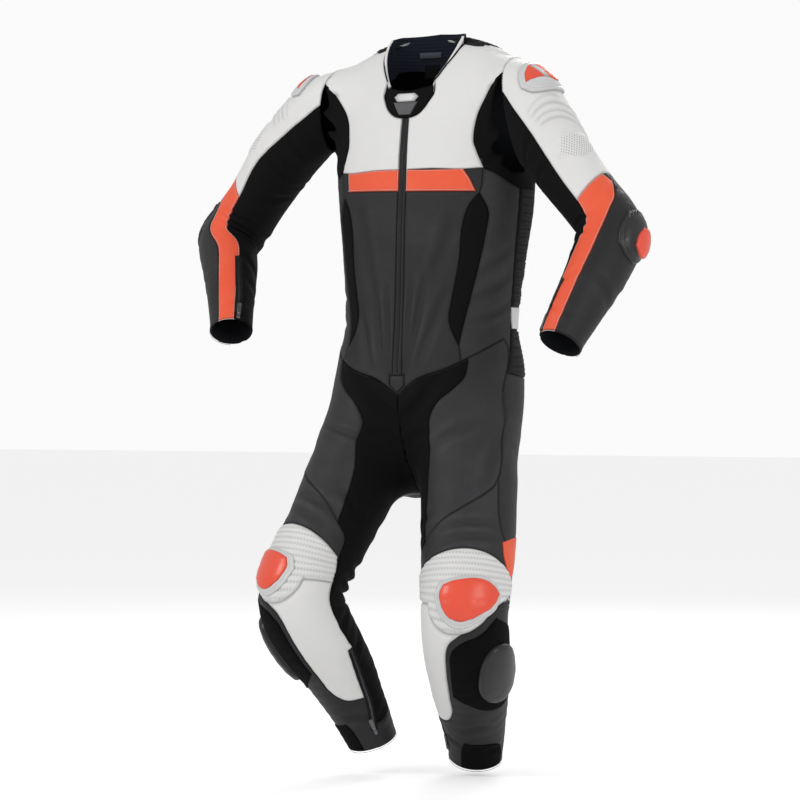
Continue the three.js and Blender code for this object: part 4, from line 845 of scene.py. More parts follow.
stretch_cloth = cloth("stretch_cloth", (0.0035, 0.0035, 0.0038), (0.008, 0.008, 0.0085), 0.85)
ribbed_stretch = cloth("ribbed_stretch", (0.010, 0.010, 0.0105), (0.034, 0.034, 0.035), 0.62, 1200.0, 0.3, 0.05)
hook_cloth = cloth("hook_cloth", (0.0022, 0.0022, 0.0024), (0.0045, 0.0045, 0.005), 0.95, 1400.0, 0.5)
inner_cloth = cloth("inner_cloth", (0.012, 0.013, 0.016), (0.026, 0.027, 0.032), 0.9, 500.0, 0.6)
lining_cloth = cloth("lining_cloth", (0.010, 0.012, 0.020), (0.022, 0.026, 0.04), 0.85, 260.0, 0.9)
loop_cloth = cloth("loop_cloth", (0.055, 0.06, 0.07), (0.11, 0.12, 0.135), 0.8, 700.0, 0.6)
zip_tape = cloth("zip_tape", (0.010, 0.010, 0.0105), (0.022, 0.022, 0.023), 0.75, 800.0)


# %% Moulded pieces, metal and thread
def moulded(name, colour, roughness, speckle=0.15, coat=0.0, metallic=0.0):
    material, tree, shader = new_material(name)
    object_place = node(tree, "ShaderNodeTexCoord").outputs["Object"]
    fine = node(tree, "ShaderNodeTexNoise", {"Vector": object_place, "Scale": 1500.0, "Detail": 2.0}).outputs[0]
    broad = node(tree, "ShaderNodeTexNoise", {"Vector": object_place, "Scale": 45.0, "Detail": 5.0}).outputs[0]
    deep = tuple(c * (1 - speckle) for c in colour)
    tone = colour_mix(tree, broad, (*colour, 1), (*deep, 1))
    # Painted shade at the seams and at the feet of the pieces, and a lighter rubbed tone with a painted highlight on
    # their tops.
    marked = use(tree, shade_rub_highlight, {"Colour": tone, "Seam shade colour": (*[c * 0.4 for c in colour], 1),
                             "Rub and highlight colour": (*[min(1, c * 1.5 + 0.03) for c in colour], 1)})
    tree.links.new(marked.outputs["Colour"], shader.inputs["Base Color"])
    tree.links.new(maths(tree, "MULTIPLY_ADD", broad, 0.16, roughness - 0.08), shader.inputs["Roughness"])
    bumped = node(tree, "ShaderNodeBump", {"Strength": 0.12, "Distance": 0.0003, "Height": fine})
    tree.links.new(bumped.outputs[0], shader.inputs["Normal"])
    shader.inputs["Coat Weight"].default_value = coat
    shader.inputs["Metallic"].default_value = metallic
    return material


black_plastic = moulded("black_plastic", (0.018, 0.018, 0.019), 0.34)
grey_plastic = moulded("grey_plastic", (0.10, 0.10, 0.105), 0.5)
white_shell = moulded("white_shell", (0.72, 0.72, 0.72), 0.34, 0.06, 0.1)
orange_shell = moulded("orange_shell", (1.0, 0.095, 0.045), 0.32, 0.1, 0.15)
dark_metal = moulded("dark_metal", (0.22, 0.22, 0.23), 0.32, 0.2, metallic=1.0)
white_thread = moulded("white_thread", (0.74, 0.74, 0.72), 0.7, 0.1)
black_thread = moulded("black_thread", (0.03, 0.03, 0.032), 0.7, 0.1)
orange_thread = moulded("orange_thread", (0.9, 0.12, 0.06), 0.7, 0.1)
pale_floor = moulded("pale_floor", (0.93, 0.93, 0.93), 0.9, 0.01)
floor_tree = pale_floor.node_tree
floor_glow = node(floor_tree, "ShaderNodeLightPath").outputs["Is Camera Ray"]
floor_shader = floor_tree.nodes["Principled BSDF"]
floor_shader.inputs["Emission Color"].default_value = (1, 1, 1, 1)
floor_tree.links.new(maths(floor_tree, "MULTIPLY", floor_glow, 0.36), floor_shader.inputs["Emission Strength"])
floor_mesh.materials.append(pale_floor)
print("finishes", len(bpy.data.materials))

# %% [markdown]
# ## Folds
# A suit hangs in few, long folds: a fan from the lower end of the zip, pinches at the waist, rings inside
# the elbows and behind the knees. Cloth simulation would blur the seams and ribs, so the main creases are
# listed one by one. Each row gives where a crease lies, its turn, length, width, depth and bend.

# %% Creases as rows of numbers
def creases(rows, scale):
    def height(u, v):
        total = np.zeros(len(u))
        for at_u, at_v, turn, length, width, depth, bend in rows:
            x = ((u - at_u + 180) % 360 - 180) * scale
            y = v - at_v
            c, s = math.cos(math.radians(turn)), math.sin(math.radians(turn))
            along, across = x * c + y * s, y * c - x * s
            across = across - bend * (along / length) ** 2 * length
            ends = np.clip(1 - (2 * np.abs(along) / length) ** 2, 0, 1)
            valley = -np.exp(-(across / width) ** 2)
            shoulders = 0.55 * np.exp(-((np.abs(across) - 1.7 * width) / (0.9 * width)) ** 2)
            total += depth * ends * (valley + shoulders)
        return total
    return height


def wander(u, v, scale, size, seed):
    x, y = np.radians(u), v / 260
    waves = [(1, 1.3, 0.2), (2, -2.1, 1.1), (3, 3.7, 2.3), (2, 5.9, 4.0), (4, -4.3, 5.2), (5, 7.1, 0.7)]
    return size * sum(np.sin(k * x + m * y * 3 + phase + seed) / (1 + 0.35 * i)
                      for i, (k, m, phase) in enumerate(waves)) / 3


CREASES = {
    "trunk": [(9, -470, 84, 190, 7, 2.6, 0.03), (17, -460, 76, 200, 9, 3.0, 0.05), (30, -470, 66, 170, 9, 2.2, 0.04),
              (-11, -480, 96, 190, 7, 2.8, -0.03), (-20, -470, 104, 190, 9, 2.4, -0.06), (-33, -480, 112, 150, 8, 2.4, 0.0),
              (38, -330, 70, 160, 12, 1.6, 0.05), (-36, -320, 105, 190, 12, 1.8, -0.04), (70, -400, 35, 110, 8, 2.2, 0.1),
              (74, -440, 28, 100, 7, 2.4, 0.1), (72, -350, 42, 90, 8, 1.6, 0.05), (-72, -405, 148, 110, 8, 2.0, 0.1),
              (-74, -450, 152, 90, 7, 2.2, -0.1), (130, -380, 12, 190, 12, 2.4, 0.1), (-128, -430, 170, 170, 12, 2.6, -0.1),
              (180, -440, 4, 200, 14, 2.4, 0.06), (150, -300, 40, 160, 14, 1.8, 0.05), (-150, -280, 138, 150, 14, 1.8, 0.1),
              (78, -120, 60, 120, 9, 3.4, 0.1), (88, -150, 48, 120, 9, 3.0, -0.08), (-78, -120, 120, 120, 9, 3.2, 0.1),
              (-88, -155, 132, 110, 9, 2.8, 0.1), (100, -130, 90, 90, 10, 2.2, 0.1), (-100, -130, 90, 90, 10, 2.2, 0.1)],
    "sleeve_left": [(110, 70, -30, 90, 7, 2.6, 0.1), (120, 130, -20, 90, 8, 2.0, 0.1), (105, 285, -8, 95, 7, 3.4, 0.12),
                    (118, 310, 4, 100, 7, 3.8, 0.08), (110, 335, 12, 95, 7, 3.2, -0.1), (130, 360, 20, 80, 8, 2.4, -0.1),
                    (20, 250, 25, 60, 7, 1.6, 0.1), (-60, 180, 30, 80, 10, 1.6, 0.1), (200, 300, -6, 110, 9, 2.4, 0.1),
                    (215, 120, 20, 100, 10, 2.2, 0.1), (70, 430, 30, 80, 8, 1.8, 0.1), (-20, 430, -24, 90, 9, 1.8, 0.1),
                    (150, 460, 14, 90, 8, 2.0, -0.1), (60, 500, -12, 80, 7, 1.6, 0.1), (-100, 400, 18, 90, 9, 2.0, 0.0)],
    "sleeve_right": [(110, 60, -24, 90, 7, 2.8, 0.1), (118, 120, -18, 90, 8, 2.2, 0.1), (104, 280, -6, 95, 7, 3.2, 0.1),
                     (112, 305, 6, 105, 7, 3.8, 0.08), (108, 332, 12, 95, 7, 3.0, -0.1), (126, 362, 20, 80, 8, 2.2, -0.1),
                     (150, 200, -30, 100, 9, 2.0, 0.1), (-60, 190, 26, 80, 10, 1.6, 0.1), (205, 310, -8, 110, 9, 2.4, 0.1),
                     (215, 130, 16, 100, 10, 2.0, 0.1), (124, 440, 24, 90, 8, 2.2, 0.1), (-20, 450, -20, 90, 9, 1.8, 0.1),
                     (150, 490, 10, 90, 8, 1.8, -0.1), (100, 540, -14, 80, 7, 1.6, 0.1), (-110, 420, 12, 90, 9, 2.0, 0.0)],
    "leg_left": [(100, 150, 60, 130, 9, 3.2, 0.08), (118, 190, 52, 120, 9, 3.4, 0.06), (80, 240, 40, 120, 10, 2.2, 0.1),
                 (135, 250, 30, 110, 9, 2.6, 0.1), (60, 440, 8, 120, 9, 2.8, 0.16), (62, 465, 6, 130, 9, 3.0, 0.16),
                 (130, 420, 24, 90, 9, 2.4, 0.1), (30, 300, 74, 150, 12, 1.6, 0.05), (230, 540, 0, 130, 9, 4.0, 0.08),
                 (225, 575, 6, 120, 9, 4.0, -0.06), (235, 505, -8, 120, 10, 3.4, 0.1), (200, 610, 10, 90, 9, 2.6, 0.1),
                 (-120, 300, 20, 160, 12, 2.6, 0.1), (-90, 230, -20, 140, 14, 2.2, 0.1), (-100, 420, 10, 130, 12, 2.4, 0.1),
                 (60, 800, 12, 90, 8, 2.4, 0.1), (110, 840, -10, 80, 7, 2.4, 0.1), (-60, 820, 8, 110, 8, 2.6, 0.1),
                 (180, 780, -14, 90, 9, 2.4, 0.1), (20, 862, -6, 90, 7, 2.0, 0.1)],
    "leg_right": [(98, 140, 62, 120, 9, 3.2, 0.08), (116, 185, 52, 110, 9, 3.2, 0.06), (90, 250, 36, 120, 10, 2.0, 0.1),
                  (138, 260, 30, 110, 9, 2.6, 0.1), (95, 440, 14, 120, 9, 2.8, 0.16), (80, 465, 8, 120, 9, 2.6, 0.16),
                  (140, 420, 24, 90, 9, 2.4, 0.1), (40, 300, 74, 150, 12, 1.6, 0.05), (230, 530, 0, 130, 9, 4.2, 0.08),
                  (225, 565, 6, 120, 9, 4.2, -0.06), (235, 495, -8, 120, 10, 3.4, 0.1), (205, 605, 10, 90, 9, 2.6, 0.1),
                  (-120, 300, 20, 160, 12, 2.6, 0.1), (-90, 230, -20, 140, 14, 2.2, 0.1), (-100, 410, 10, 130, 12, 2.4, 0.1),
                  (190, 640, -26, 110, 9, 3.0, 0.1), (200, 700, -20, 100, 9, 2.6, 0.1), (120, 830, 14, 90, 8, 2.2, 0.1),
                  (180, 850, -8, 90, 8, 2.4, 0.1), (-60, 820, 8, 110, 8, 2.6, 0.1)],
}
print("creases", {name: len(rows) for name, rows in CREASES.items()})

# %% [markdown]
# ## Raised work
# Accordion panels let the leather stretch: narrow tucks are sewn side by side over elastic. Padded panels
# hold foam. Both are heights over the form, with a soft start at the seam so that the edge stays down.


# %% Heights of ribs, pads and edges
def soft_step(x, low, high):
    t = np.clip((x - low) / (high - low), 0, 1)
    return t * t * (3 - 2 * t)


def tucks(place, pitch, height):
    return height * np.abs(np.sin(np.pi * place / pitch)) ** 0.7


folds_of = {name: creases(rows, charts[name].scale) for name, rows in CREASES.items()}


def fold_at(chart_name, u, v):
    seed = len(chart_name) + (3 if "right" in chart_name else 0)
    return folds_of[chart_name](u, v) + wander(u, v, charts[chart_name].scale, 0.9, seed)


def shape_for(chart_name):
    def shape(u, v, reach, near_hem, spec):
        rise = spec.get("lift", 0.0) * soft_step(reach, 0, spec.get("slope", 7.0))
        tuck = np.zeros(len(u))
        if "ribs" in spec:
            pitch, height, place, region = spec["ribs"]
            tuck = tucks(place(u, v), pitch, height) * region(u, v) * soft_step(reach, 0.5, 5)
        edge = np.where(near_hem, spec.get("hem", 0.9) * np.exp(-((reach - 3.2) / 3.0) ** 2),
                        swell(reach, spec.get("valley", 1.3), puff=spec.get("puff", 0.55)))
        calm = spec.get("calm", 1.0)
        fold = calm * fold_at(chart_name, u, v)
        if "raise" in spec:
            rise = rise + spec["raise"](u, v, reach)
        # The seam mark: the materials paint shade where it is high, in the valley along a seam and, on ribbed panels,
        # in the valleys between the tucks.
        seam = np.exp(-(reach / 1.5) ** 2)
        if "ribs" in spec:
            seam = np.maximum(seam, 0.8 * np.clip(1 - tuck / (0.45 * spec["ribs"][1]), 0, 1)
                              * spec["ribs"][3](u, v))
        # The ridge mark grows with the height of folds and seam puffs. The materials paint a highlight there, mixed
        # with a rubbed tone.
        marks = {"seam": seam, "ridge": np.clip(0.25 + (fold + edge) / 2.4, 0, 1),
                 "pad": spec["pad"](u, v) if "pad" in spec else np.zeros(len(u))}
        return rise + tuck + edge, fold, marks
    return shape


MATERIAL_OF = {"white_leather": white_leather, "orange_leather": orange_leather, "black_leather": black_leather,
               "grey_leather": grey_leather, "stretch_cloth": stretch_cloth, "ribbed_stretch": ribbed_stretch,
               "zip_tape": zip_tape, "punched_leather": punched_leather}
layouts = {}


def make_chart(chart_name, specs, holes, v_range):
    layout = lay_out(charts[chart_name], specs, holes, v_range)
    layouts[chart_name] = layout
    shape = shape_for(chart_name)
    for number, spec in enumerate(specs):
        sew(layout, number, shape, [MATERIAL_OF[spec.get("skin", spec["slot"])], inner_cloth])
    print(chart_name, len(specs), "pieces,", len(layout["triangles"]), "triangles")


# %% [markdown]
# ## The trunk
# White yoke, orange band, two black front panels on each side of the zip, stretch inserts that curve in to
# the waist, side panels with an accordion strip behind them, a ribbed lumbar panel and a plain black back.

# %% Seams of the neck, the armholes and the waist
def mirrored(outline):
    return [(-u, v) for u, v in outline]


def unroll(points):
    points = np.array(points, float)
    points[:, 0] = np.degrees(np.unwrap(np.radians(points[:, 0])))
    return [tuple(p) for p in points]


def collar_radius(u):
    u = np.radians(u)
    return 1 / np.hypot(np.sin(u) / COLLAR_HALF, np.cos(u) / COLLAR_DEPTH)


def collar_point(u, v, inset=0.0):
    u, v = np.asarray(u, float), np.asarray(v, float)
    r = collar_radius(u) - inset
    return np.stack([np.sin(np.radians(u)) * r, COLLAR_Y - np.cos(np.radians(u)) * r, v + 0 * u], 1)


ARMS = ("arm_left", "arm_right")
collar_u = np.arange(48, 313, 4.0)
low, high = np.full(len(collar_u), -60.0), np.full(len(collar_u), 70.0)
for _ in range(18):
    half = (low + high) / 2
    out_there = form(collar_point(collar_u, half), ARMS) > 0
    low, high = np.where(out_there, low, half), np.where(out_there, half, high)
COLLAR_SEAM = np.stack([collar_u, (low + high) / 2], 1)
TAB_EDGE = [(-44, -44), (-40, -54), (-34, -68), (-24, -80), (-8, -86), (10, -85), (24, -78), (34, -64), (40, -52),
            (44, -44)]


def throat_rays(u, v):
    u = np.radians(u)
    return np.stack([0 * u, COLLAR_Y + 0 * u, v], 1), np.stack([np.sin(u), -np.cos(u), 0 * u], 1)


def throat_point(u, v):
    """The collar's tube above its seam, and the chest below it."""
    u, v = np.asarray(u, float), np.asarray(v, float)
    tube = collar_point(u, v)
    under = form(tube, ARMS) <= 0
    if under.any():
        origin, ray = throat_rays(u[under], v[under])
        tube[under] = leave(origin, ray, 45.0, 300.0, ARMS)
    return tube


neck_points = np.array(TAB_EDGE + [tuple(p) for p in COLLAR_SEAM])
neck_line = unroll(trunk_pattern(throat_point(neck_points[:, 0], neck_points[:, 1])))
neck_hole = neck_line + [(neck_line[0][0] + 360, neck_line[0][1]), (neck_line[0][0] + 360, 250), (neck_line[0][0], 250)]
armhole_of = {}
for side in ("left", "right"):
    ring = np.arange(0, 360, 5.0)
    points, _ = charts["sleeve_" + side].at((ring + 180) % 360 - 180, 0 * ring)
    armhole_of[side] = unroll(trunk_pattern(points))
WAIST = [(0, -589), (18, -561), (40, -541), (55, -521), (72, -497), (80, -488), (83, -500), (81, -549), (100, -556),
         (140, -562), (180, -563)]
waist_round = mirrored(WAIST)[::-1] + WAIST[1:]
TRUNK_HOLES = [{"outline": neck_hole}, {"outline": armhole_of["left"]}, {"outline": armhole_of["right"]},
               {"outline": waist_round + [(180, -760), (-180, -760)]}]
print("armholes", {k: len(v) for k, v in armhole_of.items()}, "collar seam", COLLAR_SEAM[[0, 33, 66], 1].round())

# %% Outlines of the trunk
ZIP_HALF = 4.2
SEAM_FRONT = [(62, -225), (56, -248), (52, -284), (50, -347), (45, -418), (43, -454), (49, -501)]
SEAM_SIDE = [(67, -260), (66, -293), (64, -329), (57, -418)]
YOKE_EDGE = [(66, -32), (63, -45), (59, -106), (60, -125), (64, -173)]
NAPE_HALF = [(72, 100), (76, 81), (90, 47), (105, 30), (125, 8), (150, -8)]
BAND_ENDS = {"left": [(53, -173), (60, -223)], "right": [(58, -165), (57, -216)]}
YOKE = [(0, -157), (30, -162), (53, -173), (64, -173)] + YOKE_EDGE[-2::-1] + [
    (74, -4), (96, -20), (103, -52), (118, -44), (136, -30), (136, 140), (0, 140)]
LUMBAR = [(89, -471), (271, -471), (279, -549), (279, -600), (81, -600), (81, -549)]


def everywhere(u, v):
    return np.ones(len(u))


def by_length(u, v):
    return v


def trunk_half(side):
    flip = (lambda outline: outline) if side == "left" else mirrored
    rows = [
        ("side", "grey_leather", [(64, -176), (68, -182), (86, -216), (87, -327), (88, -399), (89, -471), (84, -520),
                                  (77, -560), (47, -600), (48, -501)] + SEAM_SIDE[::-1] + [(62, -225)], {}),
        ("gusset", "stretch_cloth", YOKE_EDGE + [(68, -182), (86, -216), (102, -216), (112, -170), (115, -90),
                                                 (108, -40), (96, -60), (80, -60)], {}),
        ("side_ribs", "ribbed_stretch", [(86, -216), (102, -216), (106, -426), (106, -471), (89, -471), (88, -399),
                                         (87, -327)],
         {"grid": (8.0, 1.75), "ribs": (7.2, 2.0, by_length, lambda u, v: soft_step(v, -430, -422))}),
        ("front", "black_leather", [(0, -150), (64, -150), (64, -176)] + SEAM_FRONT + [(48, -600), (0, -620)], {}),
        ("insert", "stretch_cloth", SEAM_FRONT + SEAM_SIDE[::-1], {"calm": 0.7}),
    ]
    return [{"name": f"{name}_{side}", "slot": slot, "outline": flip(outline), **more}
            for name, slot, outline, more in rows]


def zip_profile(u, v, reach):
    x = np.abs(u) * 2.6
    return -0.6 + 2.9 * np.exp(-((x - 6.2) / 2.5) ** 2)


def twice(name, slot, outline_of, **more):
    return [{"name": f"{name}_{side}", "slot": slot, "outline": outline_of(side), **more}
            for side in ("left", "right")]


def band_outline(side):
    outline = [(0, -157)] + [(abs(u), v) for u, v in BAND_ENDS[side]] + [(0, -220)]
    return outline if side == "left" else mirrored(outline)


trunk_specs = [
    {"name": "back_panel", "slot": "black_leather",
     "outline": [(98, -60), (140, 60), (220, 60), (262, -60), (262, -471), (98, -471)]},
    {"name": "lumbar_ribs", "slot": "ribbed_stretch", "outline": LUMBAR, "grid": (9.0, 2.0),
     "ribs": (8.4, 2.2, by_length, everywhere)},
    *trunk_half("left"), *trunk_half("right"),
    *twice("band", "orange_leather", band_outline, calm=0.5),
    *twice("yoke", "white_leather", lambda side: YOKE if side == "left" else mirrored(YOKE), calm=0.6),
    {"name": "nape_ribs", "slot": "ribbed_stretch", "grid": (9.0, 1.9),
     "outline": NAPE_HALF + [(180, -14)] + [(360 - u, v) for u, v in NAPE_HALF[::-1]] + [(288, 140), (72, 140)],
     "ribs": (7.6, 1.9, by_length, everywhere)},
    {"name": "main_zip", "slot": "zip_tape", "skin": "black_leather", "grid": (1.5, 5.0), "calm": 0.9, "puff": 0.0,
     "valley": 0.4, "outline": [(-ZIP_HALF, -560), (ZIP_HALF, -560), (ZIP_HALF, 40), (-ZIP_HALF, 40)],
     "raise": zip_profile},
    {"name": "zip_patch", "slot": "black_leather", "lift": 1.6, "slope": 2.5, "calm": 0.9,
     "outline": [(-7, -553), (7, -553), (7, -572), (0, -586), (-7, -572)]},
]
make_chart("trunk", trunk_specs, TRUNK_HOLES, (-625, 130))

# %% [markdown]
# ## The sleeves
# Black stretch cloth inside, white leather over the shoulder and upper arm, an orange stripe in front of the
# forearm and black leather round the elbow. Tucks lie under the shoulder guard, and below them a padded
# patch with punched air holes.

# %% Outlines of the sleeves
CUFFS = {"left": 540, "right": 578}
PERFORATED = {"left": [(-12, 138), (50, 127), (74, 153), (33, 178), (-8, 170)],
              "right": [(-4, 132), (60, 122), (74, 148), (64, 172), (8, 176)]}


def shoulder_tucks(u, v):
    return v + 0.36 * (u - 20)


def tuck_region(u, v):
    w = shoulder_tucks(u, v)
    return soft_step(w, 82, 86) * (1 - soft_step(w, 116, 120)) * soft_step(u, -34, -24) * (1 - soft_step(u, 56, 66))


def distance_inside(u, v, outline, scale):
    line = smooth_outline(outline, scale, 3.0)
    points = np.stack([u * scale, v], 1)
    within = inside(points, line)
    reach = np.full(len(u), 0.0)
    index = np.flatnonzero(within)
    if len(index):
        reach[index] = np.sqrt(((points[index][:, None] - line[None]) ** 2).sum(2).min(1))
    return reach


def sleeve_outer_raise(side):
    def height(u, v, reach):
        depth = distance_inside(u, v, PERFORATED[side], 1.05)
        return 2.4 * soft_step(depth, 0, 4)
    return height


def sleeve_specs(side):
    elbow = [(-95, 200), (16, 200), (30, 240), (40, 270), (60, 320), (80, 400), (80, 640), (-95, 640)]
    outer = [(62, -40), (62, 0), (73, 40), (86, 105), (88, 238), (50, 221), (14, 209), (-30, 206), (-95, 206), (-95, -40)]
    stripe = [(88, 238), (50, 221), (14, 209), (2, 226), (26, 262), (48, 295), (49, 380), (46, 640), (93, 640),
              (93, 400), (90, 300)]
    return [
        {"name": f"sleeve_inner_{side}", "slot": "stretch_cloth", "outline": [(60, -40), (272, -40), (272, 640), (60, 640)]},
        {"name": f"sleeve_elbow_{side}", "slot": "black_leather", "outline": elbow},
        {"name": f"sleeve_outer_{side}", "slot": "white_leather", "outline": outer, "grid": (4.2, 2.3), "calm": 0.6,
         "skin": "punched_leather",
         "ribs": (9.4, 2.6, shoulder_tucks, tuck_region), "raise": sleeve_outer_raise(side),
         "pad": lambda u, v: soft_step(distance_inside(u, v, PERFORATED[side], 1.05), 4.5, 6)},
        {"name": f"sleeve_stripe_{side}", "slot": "orange_leather", "outline": stripe, "calm": 0.6},
    ]


for side in ("left", "right"):
    ends = [{"outline": [(-190, -60), (190, -60), (190, 0), (-190, 0)]},
            {"outline": [(-190, CUFFS[side]), (190, CUFFS[side]), (190, 700), (-190, 700)], "hem": True}]
    make_chart("sleeve_" + side, sleeve_specs(side), ends, (-12, CUFFS[side] + 12))

# %% [markdown]
# ## The trouser legs
# Dark grey leather in front, stretch cloth inside, black leather behind. The knee panel is white with tucks
# above the guard, and the shin is white down to a pointed end above the ankle.

# %% Outlines of the legs
HEM = 905
LEG_TURN = {"left": 0, "right": 8}
LEG_ROWS = [
    ("seat", "black_leather", [(-175, 20), (30, 20), (16, 150), (13, 226), (22, 337), (16, 440), (-14, 500), (-22, 530),
                               (-24, 560), (-90, 560), (-110, 500), (-140, 380), (-158, 250)], {}),
    ("inseam", "stretch_cloth", [(62, 20), (62, 125), (73, 147), (89, 172), (99, 208), (108, 288), (114, 360), (124, 460),
                                 (145, 478), (150, 512), (156, 535), (158, 560), (163, 651), (168, 700), (150, 800),
                                 (150, 860), (215, 860), (232, 700), (258, 600), (265, 560), (250, 500), (220, 380),
                                 (202, 250), (185, 20)], {}),
    ("thigh", "grey_leather", [(-20, 20), (62, 20), (62, 125), (73, 147), (89, 172), (99, 208), (108, 288), (114, 360),
                               (124, 460), (95, 432), (62, 402), (29, 358), (22, 337), (13, 226), (16, 150)], {}),
    ("over_knee", "grey_leather", [(124, 460), (95, 432), (62, 402), (29, 358), (22, 337), (16, 440), (-14, 500),
                                   (-14, 540), (150, 540), (150, 512), (145, 478)], {}),
    ("calf", "black_leather", [(-130, 560), (-60, 560), (150, 560), (163, 651), (168, 700), (152, 778), (147, 860),
                               (214.7, 860), (214.7, 1000), (-145, 1000), (-145, 860), (-128, 700), (-102, 600)], {}),
    ("shin", "white_leather", [(-8, 556), (12, 568), (42, 588), (70, 600), (84, 612), (92, 650), (95, 718), (96, 756),
                               (108, 784), (146, 802), (150, 758), (158, 699), (168, 700), (163, 651), (156, 556)],
     {"calm": 0.6, "lift": 1.4}),
    ("knee", "white_leather", [(-14, 517), (24, 497), (58, 490), (95, 494), (122, 502), (147, 512), (154, 535),
                               (156, 558), (112, 567), (108, 580), (92, 594), (66, 597), (39, 588), (12, 568),
                               (-8, 556), (-22, 545), (-22, 530)],
     {"calm": 0.4, "lift": 2.2, "grid": (5.5, 1.9)}),
]


def knee_place(turn):
    def place(u, v):
        return v + 13 * ((u - 60 - turn) / 80) ** 2
    return place


def leg_specs(side):
    turn = LEG_TURN[side]
    specs = []
    for name, slot, outline, more in LEG_ROWS:
        moved = [(u if v < 330 else u + turn, v) for u, v in outline]
        spec = {"name": f"{name}_{side}", "slot": slot, "outline": moved, **more}
        if name == "knee":
            spec["ribs"] = (8.6, 2.6, knee_place(turn), everywhere)
        specs.append(spec)
    return specs


def crotch_outline(chart, sign):
    def x_at(u, v):
        return sign * chart.at(u, v)[0][:, 0]
    rows = np.arange(94, 400, 7.0)
    rows = rows[x_at(0 * rows + 180, rows) < 0.4]
    found = []
    for start in (95.0, 265.0):
        keep, lose = np.full(len(rows), start), np.full(len(rows), 180.0)
        for _ in range(14):
            half = (keep + lose) / 2
            clear = x_at((half + 180) % 360 - 180, rows) > 0.3
            keep, lose = np.where(clear, half, keep), np.where(clear, lose, half)
        found.append((keep + lose) / 2)
    front = [(u, v) for u, v in zip(found[0], rows)]
    back = [(u, v) for u, v in zip(found[1], rows)][::-1]
    return [(front[0][0], 20)] + front + back + [(back[-1][0], 20)]


def waist_outline(sign):
    line = smooth_outline(waist_round, 2.6, 8.0, closed=False)
    points, _ = charts["trunk"].at(line[:, 0] / 2.6, line[:, 1])
    points = points[points[:, 0] * sign > -6]
    u = np.degrees(np.arctan2(LEG_AXIS_Y - points[:, 1], points[:, 0] * sign - LEG_AXIS_X))
    pattern = unroll(np.stack([u, AXIS_TOP - points[:, 2]], 1))
    return pattern + [(pattern[-1][0], -60), (pattern[0][0], -60)]


for side, sign in (("left", 1), ("right", -1)):
    holes = [{"outline": waist_outline(sign)}, {"outline": crotch_outline(charts["leg_" + side], sign)},
             {"outline": [(-200, HEM), (290, HEM), (290, 1100), (-200, 1100)], "hem": True}]
    make_chart("leg_" + side, leg_specs(side), holes, (16, HEM + 12))

# %% [markdown]
# ## Raised pieces over an outline
# Guards, sliders, badges and patches are all low mounds on the suit. One helper lays rings from an outline
# in to its middle, each ring at the height that a short table of shares gives. The piece follows the panel
# under it, folds included, so that it never floats and never sinks in.

# %% Lay a mound, a strap or many small blocks
def on_chart(chart_name, calm=1.0):
    def at(u, v):
        points, normal = charts[chart_name].at(u, v)
        return points + normal * (calm * fold_at(chart_name, u, v))[:, None], normal
    return at


def fan(count, rings):
    around = np.arange(count)
    after = (around + 1) % count
    faces = []
    for k in range(rings - 1):
        a, b = k * count + around, k * count + after
        faces += [np.stack([a, b, b + count], 1), np.stack([a, b + count, a + count], 1)]
    last = (rings - 1) * count
    faces.append(np.stack([last + around, last + after, np.full(count, rings * count)], 1))
    return np.concatenate(faces)


def facing(points, faces, normal):
    a, b, c = points[faces[:, 0]], points[faces[:, 1]], points[faces[:, 2]]
    return faces if (np.cross(b - a, c - a) * normal[faces[:, 0]]).sum() > 0 else faces[:, ::-1]


def mound(name, at, outline, table, materials, switch=0.0, scale=1.2, step=2.2, corner=48, foot=0.3, shape=None,
          middle=None, seam=1.0):
    """table holds (share of the way out, height) from the edge in; inside the share switch the second material."""
    line = smooth_outline(outline, scale, step, corner)
    line = np.stack([line[:, 0] / scale, line[:, 1]], 1)
    centre = np.array(middle) if middle else line.mean(0)
    shares = [1.0, *[s for s, _ in table]]
    heights = [foot, *[h for _, h in table]]
    rows = [centre + (line - centre) * s for s in shares] + [centre[None]]
    flat = np.vstack(rows)
    up = np.concatenate([np.full(len(r), h) for r, h in zip(rows, [*heights, heights[-1]])])
    way = np.concatenate([np.full(len(r), s) for r, s in zip(rows, [*shares, 0.0])])
    if shape:
        up = up + shape(flat[:, 0], flat[:, 1], way)
    points, normal = at(flat[:, 0], flat[:, 1])
    points = points + normal * up[:, None]
    faces = facing(points, fan(len(line), len(shares)), normal)
    kind = (way[faces].mean(1) < switch).astype(int)
    # The two outer rings carry the seam mark, where the materials paint shade at the piece's foot. The inner half gets
    # a higher ridge mark, where they paint a highlight on its top.
    edge = np.isin(np.arange(len(flat)) // len(line), [0, 1]) * seam
    place = np.stack([flat[:, 0] * scale, flat[:, 1]], 1)
    return new_object(name, points, faces, materials, True, kind, [("seam", edge), ("ridge", 0.3 + 0.5 * (way < 0.5))],
                      place[faces.ravel()])


def declare(made, body=SUIT, replaces=(), sheet=False, box=None):
    """box is the piece's size on the table in metres; without it the pattern coordinates give it."""
    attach(made, body)
    if replaces:
        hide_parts(*replaces)
    if sheet:
        area = sum(face.area for face in made.data.polygons)
        if box is None:
            box = np.ptp(np.array([spot.uv[:] for spot in made.data.uv_layers["pattern"].data]), axis=0)
        share = min(1.0, max(0.32, area / (box[0] * box[1])))
        box = np.array(box) * math.sqrt(area / share / (box[0] * box[1]))
        made_pieces[made.name] = {"flat": box * 1000, "area": area, "object": made}
    return made


